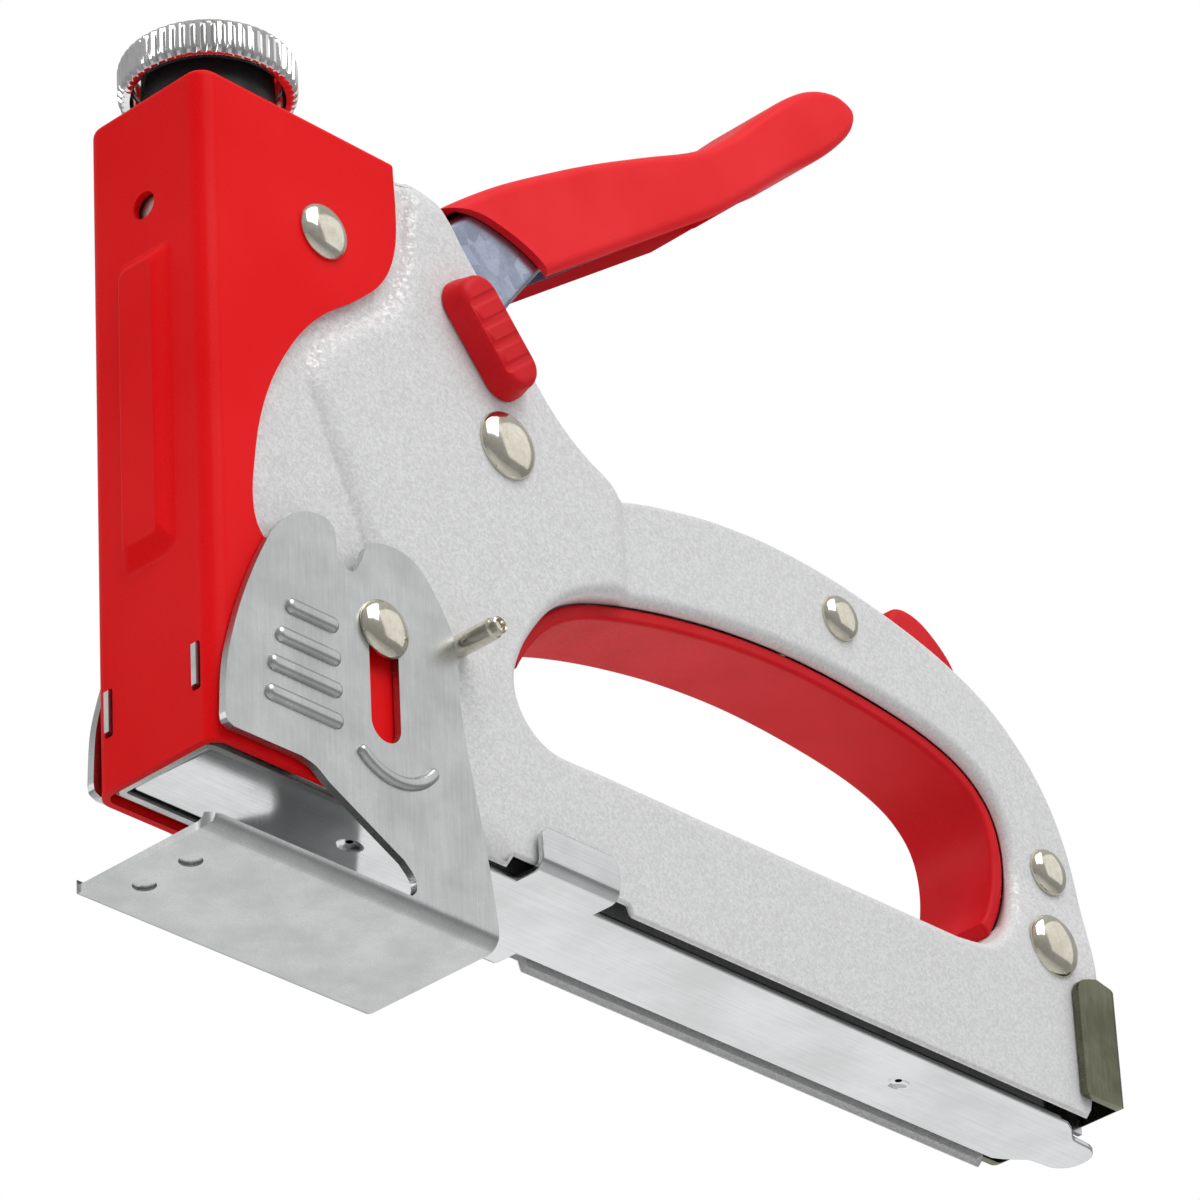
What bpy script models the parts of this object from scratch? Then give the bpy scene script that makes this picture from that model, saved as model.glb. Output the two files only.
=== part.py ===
"""Hand staple gun with a squeeze lever, a spring driven hammer, an adjusting knob and a sliding foot.

Lengths are written in millimetres in the bench frame: x runs back from the front of the nose, y is
across (the left side is at -y), z is up from the bottom of the nose. The bench empty turns that into
the part's own frame, whose origin is the middle of the foot's sole.
"""

import math

import bmesh
import bpy
from mathutils import Matrix, Vector

mm = 0.001
gap = 0.3

# nose
cover_half, cover_wall, cover_height, cover_top_wall = 11.75, 1.1, 105.4, 1.1
channel_half, channel_wall, channel_depth = 8.95, 1.0, 26.0
slot_y, slot_low, slot_high = 8.4, 8.2, 15.2
front_hole_z, front_hole_r = 87.5, 2.1
rib_low, rib_high, rib_half, rib_proud = 31.0, 79.5, 5.3, 1.7

# body shells: how far each level stands from the middle plane
seam, front_half, panel_half, bar_half, grip_half = 0.15, 10.4, 11.2, 11.0, 9.1
deep_inside, grip_inside, shell_wall = 9.15, 7.7, 1.4

# knob, screw and main spring share one upright axis
knob_x, knob_r, knob_low, knob_high, knob_teeth = 12.6, 12.6, 110.3, 116.2, 54
thread_pitch = 1.25
spring_low, spring_high, spring_r, spring_wire, spring_turns = 50.6, 92.4, 4.8, 0.95, 8

# lever, measured along and across its own handle from the pivot
pivot_x, pivot_z, lever_lean = 57.5, 67.3, 35.7
lever_half, lever_wall, grip_wall = 6.7, 1.5, 1.15
roller_reach, roller_r, lever_swing = 33.0, 3.0, 42.0

# foot
sole_top, sole_bottom, sole_front, sole_back = -13.8, -15.0, -3.0, 49.7
ear_half, ear_wall, foot_travel = 13.25, 1.2, 13.2
foot_rivet_x, foot_rivet_z, foot_slot_half = 29.9, 26.3, 2.75

# magazine
floor_low, floor_wall, floor_half, floor_front = 1.0, 1.0, 7.5, 4.4
tab_front, tab_back, tab_out, tab_top = 59.5, 74.5, 12.7, 7.8
rail_half, rail_low, rail_high, rail_wall = 4.6, 2.4, 15.8, 0.8
clip_front, clip_back, clip_low, clip_high = 171.7, 181.0, 3.7, 23.6
clip_half, clip_wall, rod_z, rod_r = 12.5, 1.2, 9.2, 1.1

origin_x, origin_z = (sole_front + sole_back) / 2, sole_bottom

body_outline = [
    (2, 0.3, 0), (2, 103.9, 0), (36, 103.9), (41.6, 104.6), (45.4, 103.5), (48.4, 100.4, 0),
    (66.5, 78.6, 0), (70.4, 75), (74.6, 72.3), (79, 70.4), (84, 70.2), (92, 72.3), (102, 74.2),
    (114, 75.2), (126, 74.8), (138, 73.2), (150, 70.5), (160, 66.6), (167.4, 61.2), (173, 54.6),
    (176.8, 46.6), (178.9, 37.5), (179.4, 29), (178.6, 21, 0), (174.6, 3.2, 0), (173.6, 1.2),
    (171.5, 0.3, 0)]
hole_outline = [
    (66, 21.8, 0), (148, 22.2, 0), (154.6, 23.4), (159.4, 27.6), (162.2, 33.4), (163.2, 40),
    (162.3, 46), (159.4, 50.6), (154, 54.2), (145, 56.7), (132, 58.2), (119, 58.6), (106, 57.7),
    (94, 55.8), (84, 53.5), (76, 51), (70.4, 48.2), (66, 44.7), (62.4, 40.4), (59.6, 35.8),
    (58, 31), (58.7, 26.8), (61.6, 23.4)]
cover_outline = [
    (0, 0, 0), (0, 105.4, 0), (34.6, 105.4, 0), (36.1, 104.8), (36.7, 103.4, 0), (36.9, 94),
    (35.8, 88), (33.2, 83.2), (28.8, 79), (23.6, 75), (18.8, 70.2), (14.8, 64.4), (11.6, 58),
    (9.5, 51.4), (8.4, 45), (7.9, 39.4), (8.6, 35.2), (11, 32.6), (15, 31.8, 0), (36, 31.8, 0),
    (38.4, 30.6), (39.2, 28, 0), (39.2, 0, 0)]
panel_outline = [
    (38.8, 102.6, 0), (38.9, 93), (37.6, 87.2), (34.6, 81.9), (30, 77.6), (24.4, 73), (21, 68),
    (21.6, 63), (29, 44), (36, 34.6), (41, 31, 0), (41, 21.4, 0), (66, 21.2, 0), (61.2, 22.9),
    (58.1, 26.5), (57.4, 31), (59, 36.1), (61.9, 40.8), (65.6, 45.2), (70.1, 48.8), (75.8, 51.6),
    (80.8, 53.4, 0), (81, 60), (80.8, 66), (79.4, 69.4), (74.4, 71.9), (70.2, 74.7), (66.1, 78.3, 0),
    (48, 99.9, 0), (45, 102.7), (42, 103.7)]


# ---- outlines -------------------------------------------------------------------------------

def smooth(points, steps=3):
    """A closed curve through the points; one with a third value of 0 is a sharp corner."""
    count, path = len(points), []
    for i in range(count):
        p0, p1, p2, p3 = (points[(i + k) % count] for k in (-1, 0, 1, 2))
        a, b, c, d = (Vector(p[:2]) for p in (p0, p1, p2, p3))
        if len(p1) == 3 and len(p2) == 3:
            path.append(tuple(b))
            continue
        if len(p1) == 3:
            a = b - (c - b) * 0.5
        if len(p2) == 3:
            d = c + (c - b) * 0.5
        for step in range(steps):
            t = step / steps
            spot = 0.5 * (2 * b + (c - a) * t + (2 * a - 5 * b + 4 * c - d) * t ** 2
                          + (3 * b - a - 3 * c + d) * t ** 3)
            path.append(tuple(spot))
    return path


def rounded(corners, steps=4):
    """A closed outline whose corners (x, y, radius) are turned into arcs."""
    path, count = [], len(corners)
    for i in range(count):
        here = Vector(corners[i][:2])
        back = (Vector(corners[i - 1][:2]) - here).normalized()
        ahead = (Vector(corners[(i + 1) % count][:2]) - here).normalized()
        radius = corners[i][2]
        if radius == 0:
            path.append(tuple(here))
            continue
        half = back.angle(ahead) / 2
        reach = radius / math.tan(half)
        centre = here + (back + ahead).normalized() * radius / math.sin(half)
        start, end = here + back * reach - centre, here + ahead * reach - centre
        turn = start.angle_signed(end)
        for step in range(steps + 1):
            path.append(tuple(centre + Matrix.Rotation(-turn * step / steps, 2) @ start))
    return path


def box(x0, y0, x1, y1):
    return [(x0, y0), (x1, y0), (x1, y1), (x0, y1)]


def circle(x, y, radius, count=24):
    return [(x + radius * math.cos(math.tau * i / count), y + radius * math.sin(math.tau * i / count))
            for i in range(count)]


def offset(path, distance):
    """The closed path moved outwards by the distance, whichever way round it runs."""
    count = len(path)
    area = sum(path[i - 1][0] * path[i][1] - path[i][0] * path[i - 1][1] for i in range(count))
    side = 1 if area > 0 else -1
    moved = []
    for i in range(count):
        before, here, after = (Vector(path[(i + k) % count]) for k in (-1, 0, 1))
        first, second = (here - before).normalized(), (after - here).normalized()
        normal = Vector((first.y + second.y, -first.x - second.x)).normalized()
        stretch = max(0.5, math.sqrt((1 + first.dot(second)) / 2))
        moved.append(tuple(here + normal * side * distance / stretch))
    return moved


def handle_point(along, across):
    """A point of the lever, from its own axes to the bench frame."""
    turn = math.radians(lever_lean)
    return (pivot_x + along * math.cos(turn) - across * math.sin(turn),
            pivot_z + along * math.sin(turn) + across * math.cos(turn))


# ---- solids ---------------------------------------------------------------------------------

facing = {
    "side": Matrix.Rotation(math.pi / 2, 4, "X"),
    "top": Matrix.Identity(4),
    "front": Matrix(((0, 0, 1, 0), (1, 0, 0, 0), (0, 1, 0, 0), (0, 0, 0, 1)))}
axis_sign = {"side": -1, "top": 1, "front": 1}


def new_collection(name):
    group = bpy.data.collections.new(name)
    bpy.context.scene.collection.children.link(group)
    return group


def add_object(name, mesh, cutter=False):
    thing = bpy.data.objects.new(name, mesh)
    (cutters if cutter else parts).objects.link(thing)
    thing.parent = bench
    if cutter:
        thing.hide_render = True
        thing.display_type = "WIRE"
    return thing


def curve_to_mesh(name, curve, matrix):
    """The evaluated mesh of a curve, with its caps welded and its millimetres made metres."""
    holder = bpy.data.objects.new(name + "_curve", curve)
    bpy.context.scene.collection.objects.link(holder)
    bpy.context.view_layer.update()
    evaluated = holder.evaluated_get(bpy.context.evaluated_depsgraph_get())
    mesh = bpy.data.meshes.new_from_object(evaluated)
    mesh.name = name
    welded = bmesh.new()
    welded.from_mesh(mesh)
    bmesh.ops.remove_doubles(welded, verts=welded.verts, dist=0.0005)
    bmesh.ops.dissolve_degenerate(welded, dist=0.0005, edges=welded.edges)
    bmesh.ops.recalc_face_normals(welded, faces=welded.faces)
    welded.to_mesh(mesh)
    welded.free()
    bpy.data.objects.remove(holder)
    bpy.data.curves.remove(curve)
    mesh.transform(Matrix.Scale(mm, 4) @ matrix)
    return mesh


def flat_solid(name, loops, low, high, plane="side", cutter=False):
    """A solid of the outline loops between two heights across its plane."""
    curve = bpy.data.curves.new(name, "CURVE")
    curve.dimensions = "2D"
    curve.fill_mode = "BOTH"
    curve.extrude = (high - low) / 2
    for loop in loops:
        spline = curve.splines.new("POLY")
        spline.points.add(len(loop) - 1)
        for point, (u, v) in zip(spline.points, loop):
            point.co = (u, v, 0, 1)
        spline.use_cyclic_u = True
    shift = Matrix.Translation((0, 0, axis_sign[plane] * (low + high) / 2))
    return add_object(name, curve_to_mesh(name, curve, facing[plane] @ shift), cutter)


def tube(name, points, radius, sides=2):
    """A round wire along the points, closed at both ends."""
    curve = bpy.data.curves.new(name, "CURVE")
    curve.dimensions = "3D"
    curve.bevel_depth = radius
    curve.bevel_resolution = sides
    curve.use_fill_caps = True
    spline = curve.splines.new("POLY")
    spline.points.add(len(points) - 1)
    for point, spot in zip(spline.points, points):
        point.co = (*spot, 1)
    return add_object(name, curve_to_mesh(name, curve, Matrix.Identity(4)))


def turned(name, profile, place, axis="Z", sides=24, cutter=False):
    """A turned solid: (radius, height) points run down the outside from the top."""
    mesh = bpy.data.meshes.new(name)
    verts = [(radius * mm, 0, height * mm) for radius, height in profile]
    mesh.from_pydata(verts, [(i, i + 1) for i in range(len(verts) - 1)], [])
    thing = add_object(name, mesh, cutter)
    screw = thing.modifiers.new("turn", "SCREW")
    screw.steps = screw.render_steps = sides
    screw.use_merge_vertices = True
    screw.merge_threshold = 0.00001
    bake(thing)
    aim = {"Z": Matrix.Identity(4), "Y": Matrix.Rotation(-math.pi / 2, 4, "X"),
           "-Y": Matrix.Rotation(math.pi / 2, 4, "X"), "X": Matrix.Rotation(math.pi / 2, 4, "Y")}
    thing.data.transform(Matrix.Translation(Vector(place) * mm) @ aim[axis])
    face_outwards(thing.data)
    return thing


def face_outwards(mesh):
    """Merges points closer than a hundredth of a millimetre and turns every face outwards."""
    bm = bmesh.new()
    bm.from_mesh(mesh)
    bmesh.ops.remove_doubles(bm, verts=bm.verts, dist=0.01 * mm)
    bmesh.ops.dissolve_degenerate(bm, dist=0.01 * mm, edges=bm.edges)
    bmesh.ops.recalc_face_normals(bm, faces=bm.faces)
    bm.to_mesh(mesh)
    bm.free()


def bake(thing):
    """Replaces a mesh by its modified form and drops the modifiers."""
    bpy.context.view_layer.update()
    evaluated = thing.evaluated_get(bpy.context.evaluated_depsgraph_get())
    old, thing.data = thing.data, bpy.data.meshes.new_from_object(evaluated)
    thing.modifiers.clear()
    thing.data.name = thing.name
    bpy.data.meshes.remove(old)


def boolean(thing, other, operation):
    step = thing.modifiers.new(operation.lower(), "BOOLEAN")
    step.operation = operation
    step.solver = "EXACT"
    step.object = other


def cut(thing, *others):
    for other in others:
        boolean(thing, other, "DIFFERENCE")


def join(thing, *others):
    for other in others:
        boolean(thing, other, "UNION")


def finish(thing, material, joint=None):
    """Gives a solid its colour, smooth round faces and its place in the bench frame."""
    thing.data.materials.clear()
    thing.data.materials.append(material)
    if joint:
        thing.parent = joint
        thing.matrix_parent_inverse = Matrix.Translation(joint.location).inverted()
    thing.data.shade_smooth()
    thing.data.set_sharp_from_angle(angle=math.radians(35))
    return thing


def joint_empty(name, x, y, z):
    empty = bpy.data.objects.new(name, None)
    parts.objects.link(empty)
    empty.location = Vector((x, y, z)) * mm
    empty.parent = bench
    return empty


def paint(name, colour, roughness, metallic):
    material = bpy.data.materials.new(name)
    material.use_nodes = True
    shader = material.node_tree.nodes["Principled BSDF"]
    shader.inputs["Base Color"].default_value = (*colour, 1)
    shader.inputs["Roughness"].default_value = roughness
    shader.inputs["Metallic"].default_value = metallic
    return material


# ---- nose -----------------------------------------------------------------------------------

def nose_cover():
    """Pressed cover: a channel closed at the front and top, its sides trimmed to a swept outline."""
    width = cover_half
    plan = rounded([(0, -width, 3), (60, -width, 0), (60, width, 0), (0, width, 3)])
    cover = flat_solid("nose_cover", [plan], 0, cover_height, "top")
    inside = cover_half - cover_wall
    hollow_plan = rounded([(cover_wall, -inside, 2), (61, -inside, 0), (61, inside, 0),
                           (cover_wall, inside, 2)])
    hollow = flat_solid("cover_hollow", [hollow_plan], -2, cover_height - cover_top_wall, "top", True)
    trim = flat_solid("cover_trim", [smooth(cover_outline)], -20, 20, "side", True)
    boolean(cover, trim, "INTERSECT")
    cut(cover, hollow)
    join(cover, cover_rib())
    knob_hole = flat_solid("knob_hole", [circle(knob_x, 0, 10.0, 32)], 100, 110, "top", True)
    loops = [circle(0, front_hole_z, front_hole_r, 16)]
    front_hole = flat_solid("front_hole", loops, -3, 3, "front", True)
    cut(cover, knob_hole, front_hole, rivet_holes("cover", 2.7))
    for side in (-1, 1):
        slot = rounded([(side * slot_y - 0.8, slot_low, 0.5), (side * slot_y + 0.8, slot_low, 0.5),
                        (side * slot_y + 0.8, slot_high, 0.5), (side * slot_y - 0.8, slot_high, 0.5)])
        cut(cover, flat_solid("tab_slot", [slot], -3, 2, "front", True))
    return finish(cover, red_paint)


def cover_rib():
    """The raised stiffening rib: a box whose front face is drawn in on all sides."""
    bm = bmesh.new()
    bmesh.ops.create_cube(bm, size=1)
    for vert in bm.verts:
        front = vert.co.x < 0
        narrow = 2.3 if front else 0
        tall = 3.6 if front else 0
        vert.co.x = -rib_proud if front else 0.6
        vert.co.y = math.copysign(rib_half - narrow, vert.co.y)
        middle, reach = (rib_low + rib_high) / 2, (rib_high - rib_low) / 2
        vert.co.z = middle + math.copysign(reach - tall, vert.co.z)
    bmesh.ops.scale(bm, vec=(mm, mm, mm), verts=bm.verts)
    mesh = bpy.data.meshes.new("cover_rib")
    bm.to_mesh(mesh)
    bm.free()
    rib = add_object("cover_rib", mesh, True)
    soften = rib.modifiers.new("soften", "BEVEL")
    soften.width = 0.5 * mm
    soften.segments = 2
    return rib


def rivet_holes(owner, extra):
    """Round cutters through both sides where the cover, foot and lever rivets pass."""
    loops = [circle(22.5, 87.3, 2.7, 20), circle(foot_rivet_x, foot_rivet_z, extra, 20)]
    return flat_solid(owner + "_rivet_holes", loops, -30, 30, "side", True)


def nose_channel():
    """Inner channel that guides the hammer; two tabs on its front edge show through the cover."""
    outer, inner = channel_half, channel_half - channel_wall
    front, back = 1.4, channel_depth
    plan = rounded([(front, -outer, 1.4), (back, -outer, 0), (back, -inner, 0),
                    (front + channel_wall, -inner, 0.5), (front + channel_wall, inner, 0.5),
                    (back, inner, 0), (back, outer, 0), (front, outer, 1.4)])
    channel = flat_solid("nose_channel", [plan], 0.4, 103.9, "top")
    for side in (-1, 1):
        edge = sorted((side * inner, side * (outer - 0.1)))
        tab = flat_solid("slot_tab", [box(edge[0], slot_low + 0.4, edge[1], slot_high - 0.4)],
                         -0.45, 2.4, "front", True)
        join(channel, tab)
    cut(channel, rivet_holes("channel", 2.7),
        flat_solid("bumper_pin_hole", [circle(13, 33.6, 2.2, 16)], -12, 12, "side", True))
    return finish(channel, zinc)


def hammer_bumper():
    """Rubber block that stops the hammer, with the pin that carries it."""
    block = flat_solid("hammer_bumper", [rounded([(5, 36, 1), (22, 36, 1), (22, 41.6, 1),
                                                  (5, 41.6, 1)])], -7.4, 7.4)
    finish(block, rubber)
    profile = [(0.01, 8.85), (1.9, 8.85), (1.9, -8.85), (0.01, -8.85)]
    finish(solid_of_turning("bumper_pin", profile, (13, 0, 33.6), "Y", 16), bright_steel)


def solid_of_turning(name, profile, place, axis="Z", sides=24, cutter=False):
    """A turned solid whose first and last points lie on the axis."""
    closed = [(0, profile[0][1])] + [p for p in profile if p[0] > 0.02] + [(0, profile[-1][1])]
    return turned(name, closed, place, axis, sides, cutter)


def screw_bridge():
    """Plate across the nose that holds the adjusting screw's thread."""
    outline = rounded([(2.8, -7.5, 1), (22.4, -7.5, 1), (22.4, 7.5, 1), (2.8, 7.5, 1)])
    bridge = flat_solid("screw_bridge", [outline, circle(knob_x, 0, 3.4, 24)], 98, 101.5, "top")
    return finish(bridge, zinc)


# ---- body -----------------------------------------------------------------------------------

def body_shell(name, side):
    """One painted half: grip, bar, panel and the flat that lies under the cover, hollowed out."""
    def slab(label, loops, near, far, cutter=True):
        return flat_solid(label, loops, near, far, "side", cutter)

    outline, hole = smooth(body_outline), smooth(hole_outline)
    shell = slab(name, [outline, hole], seam, grip_half, False)
    flank = [(2.6, 0.8), (2.6, 103.2), (36, 103.2), (40.6, 103.2), (43, 101), (43, 0.8)]
    bar = rounded([(40.6, 0.7, 0), (171.2, 0.7, 2), (174, 3.4, 2), (178, 21, 3), (177.6, 30, 3),
                   (168, 34, 3), (164, 24, 4), (150, 21.6, 0), (66, 21.3, 4), (56, 30, 3), (40.6, 30, 0)])
    join(shell, slab("shell_front", [flank], 3, front_half), slab("shell_bar", [bar], 4, bar_half),
         slab("shell_panel", [smooth(panel_outline)], 5, panel_half))
    if side < 0:
        cut(shell, slab("stud_hole", [circle(46.3, 30.8, 1.3, 16)], 5, 30),
            slab("lock_slot", [lock_outline(15.4, 4.8, 1.2)], 5, 30))
    hollow = [(-2, -3), (190, -3), (190, 20.2), (66, 19.8), (60.4, 21.7), (56.8, 25.9), (56, 31.3),
              (56.4, 38), (59, 42.9), (63.1, 47.7), (68.1, 51.7), (74.4, 54.9), (78.6, 56.4), (79, 74),
              (82, 76), (50, 112), (46, 101), (43.5, 102.4), (30, 102.4), (30, 112), (-2, 112)]
    cut(shell, slab("shell_hollow", [hollow], -2, deep_inside))
    cut(shell, slab("grip_hollow", [grip_hollow(outline, hole)], -2.5, grip_inside))
    notch = rounded([(56, -2, 0), (78, -2, 0), (78, 2.5, 2), (56, 2.5, 2)])
    cut(shell, slab("tab_notch", [notch], 5, 20), slab("pad_gap", [box(140.4, 62, 158.6, 80)], -3, 7.8))
    holes = [circle(22.5, 87.3, 2.7, 20), circle(foot_rivet_x, foot_rivet_z, 2.7, 20),
             circle(pivot_x, pivot_z, 3.2, 24), circle(128.3, 67.8, 2.2, 20),
             circle(171, 40.9, 2.2, 20), circle(168.8, 27.2, 2.7, 20)]
    cut(shell, slab("shell_holes", holes, -4, 30))
    bake(shell)
    if side < 0:
        shell.data.transform(Matrix.Scale(-1, 4, (0, 1, 0)))
    face_outwards(shell.data)
    return finish(shell, silver_paint)


def lining(hole, lowest):
    """Indices of the finger hole's points that the insert covers, from its rear foot to its front."""
    keep = [i for i, p in enumerate(hole) if p[1] > 34 or (p[0] > 150 and p[1] > lowest)]
    first = next(i for i in keep if i - 1 not in keep)
    return [(first + k) % len(hole) for k in range(len(keep))]


def grip_hollow(outline, hole):
    """The space inside the hand grip, open towards the finger hole where the insert lies."""
    near, far, top = offset(hole, -1), offset(hole, 2.8), offset(outline, -shell_wall)
    edge = 81.8
    under = [near[i] for i in lining(hole, 24)]
    front = [far[i] for i in reversed(lining(hole, 24)) if hole[i][0] < edge]
    return under + front + [p for p in top if p[0] > edge and p[1] > 24]


def grip_insert():
    """Red moulded lining of the grip with the pad that stands out above it."""
    hole = smooth(hole_outline)
    inner, outer, order = offset(hole, 0.1), offset(hole, 2.5), lining(hole, 27.5)
    band = [inner[i] for i in order] + [outer[i] for i in reversed(order)]
    insert = flat_solid("grip_insert", [band], -grip_inside + gap, grip_inside - gap)
    pad = smooth([(141.4, 58.6, 0), (157.6, 54.2, 0), (158, 67, 0), (155.4, 72), (150.4, 76),
                  (146, 77.2), (143, 76), (141, 72, 0)])
    join(insert, flat_solid("pad", [pad], -grip_inside + gap, grip_inside - gap, "side", True))
    return finish(insert, red_plastic)


def dome(radius, rise, top, steps=5):
    """Profile of a domed head, from its crown down to its rim."""
    return [(radius * math.sin(math.pi / 2 * i / steps), top - rise * (1 - math.cos(math.pi / 2 * i / steps)))
            for i in range(1, steps + 1)]


def through_rivet(name, x, z, head, shank, rise, half):
    """A rivet right through the body with a domed head on each side."""
    upper = dome(head, rise, half + rise)
    profile = [(0, half + rise)] + upper + [(shank, half)]
    lower = [(radius, -height) for radius, height in reversed(profile)]
    return finish(turned(name, profile + lower, (x, 0, z), "Y"), nickel)


def cover_rivet(name, side):
    """A short rivet that holds the cover to one shell."""
    base = cover_half + 0.15
    profile = [(0, base + 1.8)] + dome(4.3, 1.8, base + 1.8) + [(2.4, base), (2.4, 8.3), (0, 8.3)]
    return finish(turned(name, profile, (22.5, 0, 87.3), "Y" if side > 0 else "-Y"), nickel)


def stop_stud():
    """Stepped steel stud pressed into the left shell behind the foot's ear."""
    profile = [(0, 19.4), (0.9, 19.4), (1.0, 19.2), (1.0, 17.9), (1.4, 17.7), (1.4, 16.6), (1.15, 16.4),
               (1.15, 16.0), (1.4, 15.8), (1.4, panel_half + 0.2), (1.0, panel_half + 0.2), (1.0, 7.6),
               (0, 7.6)]
    return finish(turned("stop_stud", profile, (46.3, 0, 30.8), "-Y", 20), nickel)


# ---- knob, screw and hammer -------------------------------------------------------------------

def adjusting_knob():
    """Knurled cap with a hollow underside, its black hub and the screw below."""
    ring = []
    for i in range(knob_teeth):
        for part, radius in ((0, knob_r), (0.45, knob_r), (0.6, knob_r - 0.7), (0.85, knob_r - 0.7)):
            angle = math.tau * (i + part) / knob_teeth
            ring.append((knob_x + radius * math.cos(angle), radius * math.sin(angle)))
    knob = flat_solid("adjusting_knob", [ring], knob_low - 0.5, knob_high + 0.5, "top")
    crown = [(0, knob_high), (knob_r - 1.6, knob_high), (knob_r - 0.5, knob_high - 0.6),
             (knob_r + 0.3, knob_high - 1.6), (knob_r + 0.3, knob_low + 0.9), (knob_r - 0.9, knob_low),
             (0, knob_low)]
    boolean(knob, turned("knob_trim", crown, (knob_x, 0, 0), "Z", 46, True), "INTERSECT")
    cup = [(0, 113.7), (10.6, 113.7), (10.9, 109), (0, 109)]
    cut(knob, turned("knob_cup", cup, (knob_x, 0, 0), "Z", 40, True))
    finish(knob, chrome, knob_joint)
    hub = [(0, 113.4), (9.3, 113.4), (9.5, 106.4), (9, 105.8), (0, 105.8)]
    thing = turned("knob_hub", hub, (knob_x, 0, 0), "Z", 40)
    cut(thing, turned("hub_bore", [(0, 120), (3.3, 120), (3.3, 100), (0, 100)], (knob_x, 0, 0), "Z", 24, True))
    finish(thing, black_plastic, knob_joint)
    screw = [(0, 112.9), (3, 112.9), (3, 97), (2, 96), (0, 96)]
    finish(turned("adjusting_screw", screw, (knob_x, 0, 0), "Z", 24), bright_steel, knob_joint)


def spring_seat():
    profile = [(0, 95.6), (3, 95.6), (6.2, 94.8), (6.2, 93), (3.4, 93), (3.4, 91), (2.8, 90.4), (0, 90.4)]
    finish(turned("spring_seat", profile, (knob_x, 0, 0)), bright_steel, seat_joint)


def coil(turns, radius, low, high, place, per_turn=14, flat_turns=0.75):
    """Points of a coil round an upright axis whose end turns lie almost flat."""
    count, points = int(turns * per_turn), []
    for i in range(count + 1):
        turn = turns * i / count
        rise = min(max(turn - flat_turns, 0), turns - 2 * flat_turns) / (turns - 2 * flat_turns)
        ends = (min(turn, flat_turns) - max(turn - turns + flat_turns, 0)) / flat_turns
        height = low + (high - low) * rise * 0.94 + (high - low) * 0.03 * (1 + ends - 2 * (turn > turns / 2) * 0)
        points.append((place[0] + radius * math.cos(math.tau * turn), place[1] + radius * math.sin(math.tau * turn),
                       height - (high - low) * 0.03))
    return points


def hammer():
    """Square hammer with a pocket for the main spring and a ledge that the lever's roller lifts."""
    block = flat_solid("hammer", [rounded([(4.2, -7.4, 1), (20.4, -7.4, 1), (20.4, 7.4, 1), (4.2, 7.4, 1)])],
                       42, 64.5, "top")
    ledge_low = pivot_z - roller_reach * math.sin(math.radians(lever_swing / 2)) + roller_r + 0.35
    join(block, flat_solid("ledge", [box(19, -4.6, 29.5, 4.6)], ledge_low, 64.5, "top", True))
    pocket = [(0, 66), (6.0, 66), (6.0, 49.4), (0, 49.4)]
    cut(block, turned("spring_pocket", pocket, (knob_x, 0, 0), "Z", 32, True),
        flat_solid("blade_pin_hole", [circle(0, 45.6, 1.8, 16)], 0, 9, "front", True))
    finish(block, zinc, hammer_joint)
    blade = rounded([(-5.4, 1.6, 0), (5.4, 1.6, 0), (5.4, 62, 1), (-5.4, 62, 1)])
    strip = flat_solid("driver_blade", [blade, circle(0, 45.6, 1.8, 16)], 2.8, 3.9, "front")
    finish(strip, bright_steel, hammer_joint)
    profile = [(0, 8.6), (1.5, 8.6), (1.5, 2.7), (0, 2.7)]
    finish(turned("blade_pin", profile, (0, 0, 45.6), "X", 16), bright_steel, hammer_joint)
    points = coil(spring_turns, spring_r, spring_low, spring_high, (knob_x, 0))
    finish(tube("main_spring", points, spring_wire), spring_steel, hammer_joint)


# ---- lever ------------------------------------------------------------------------------------

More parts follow.
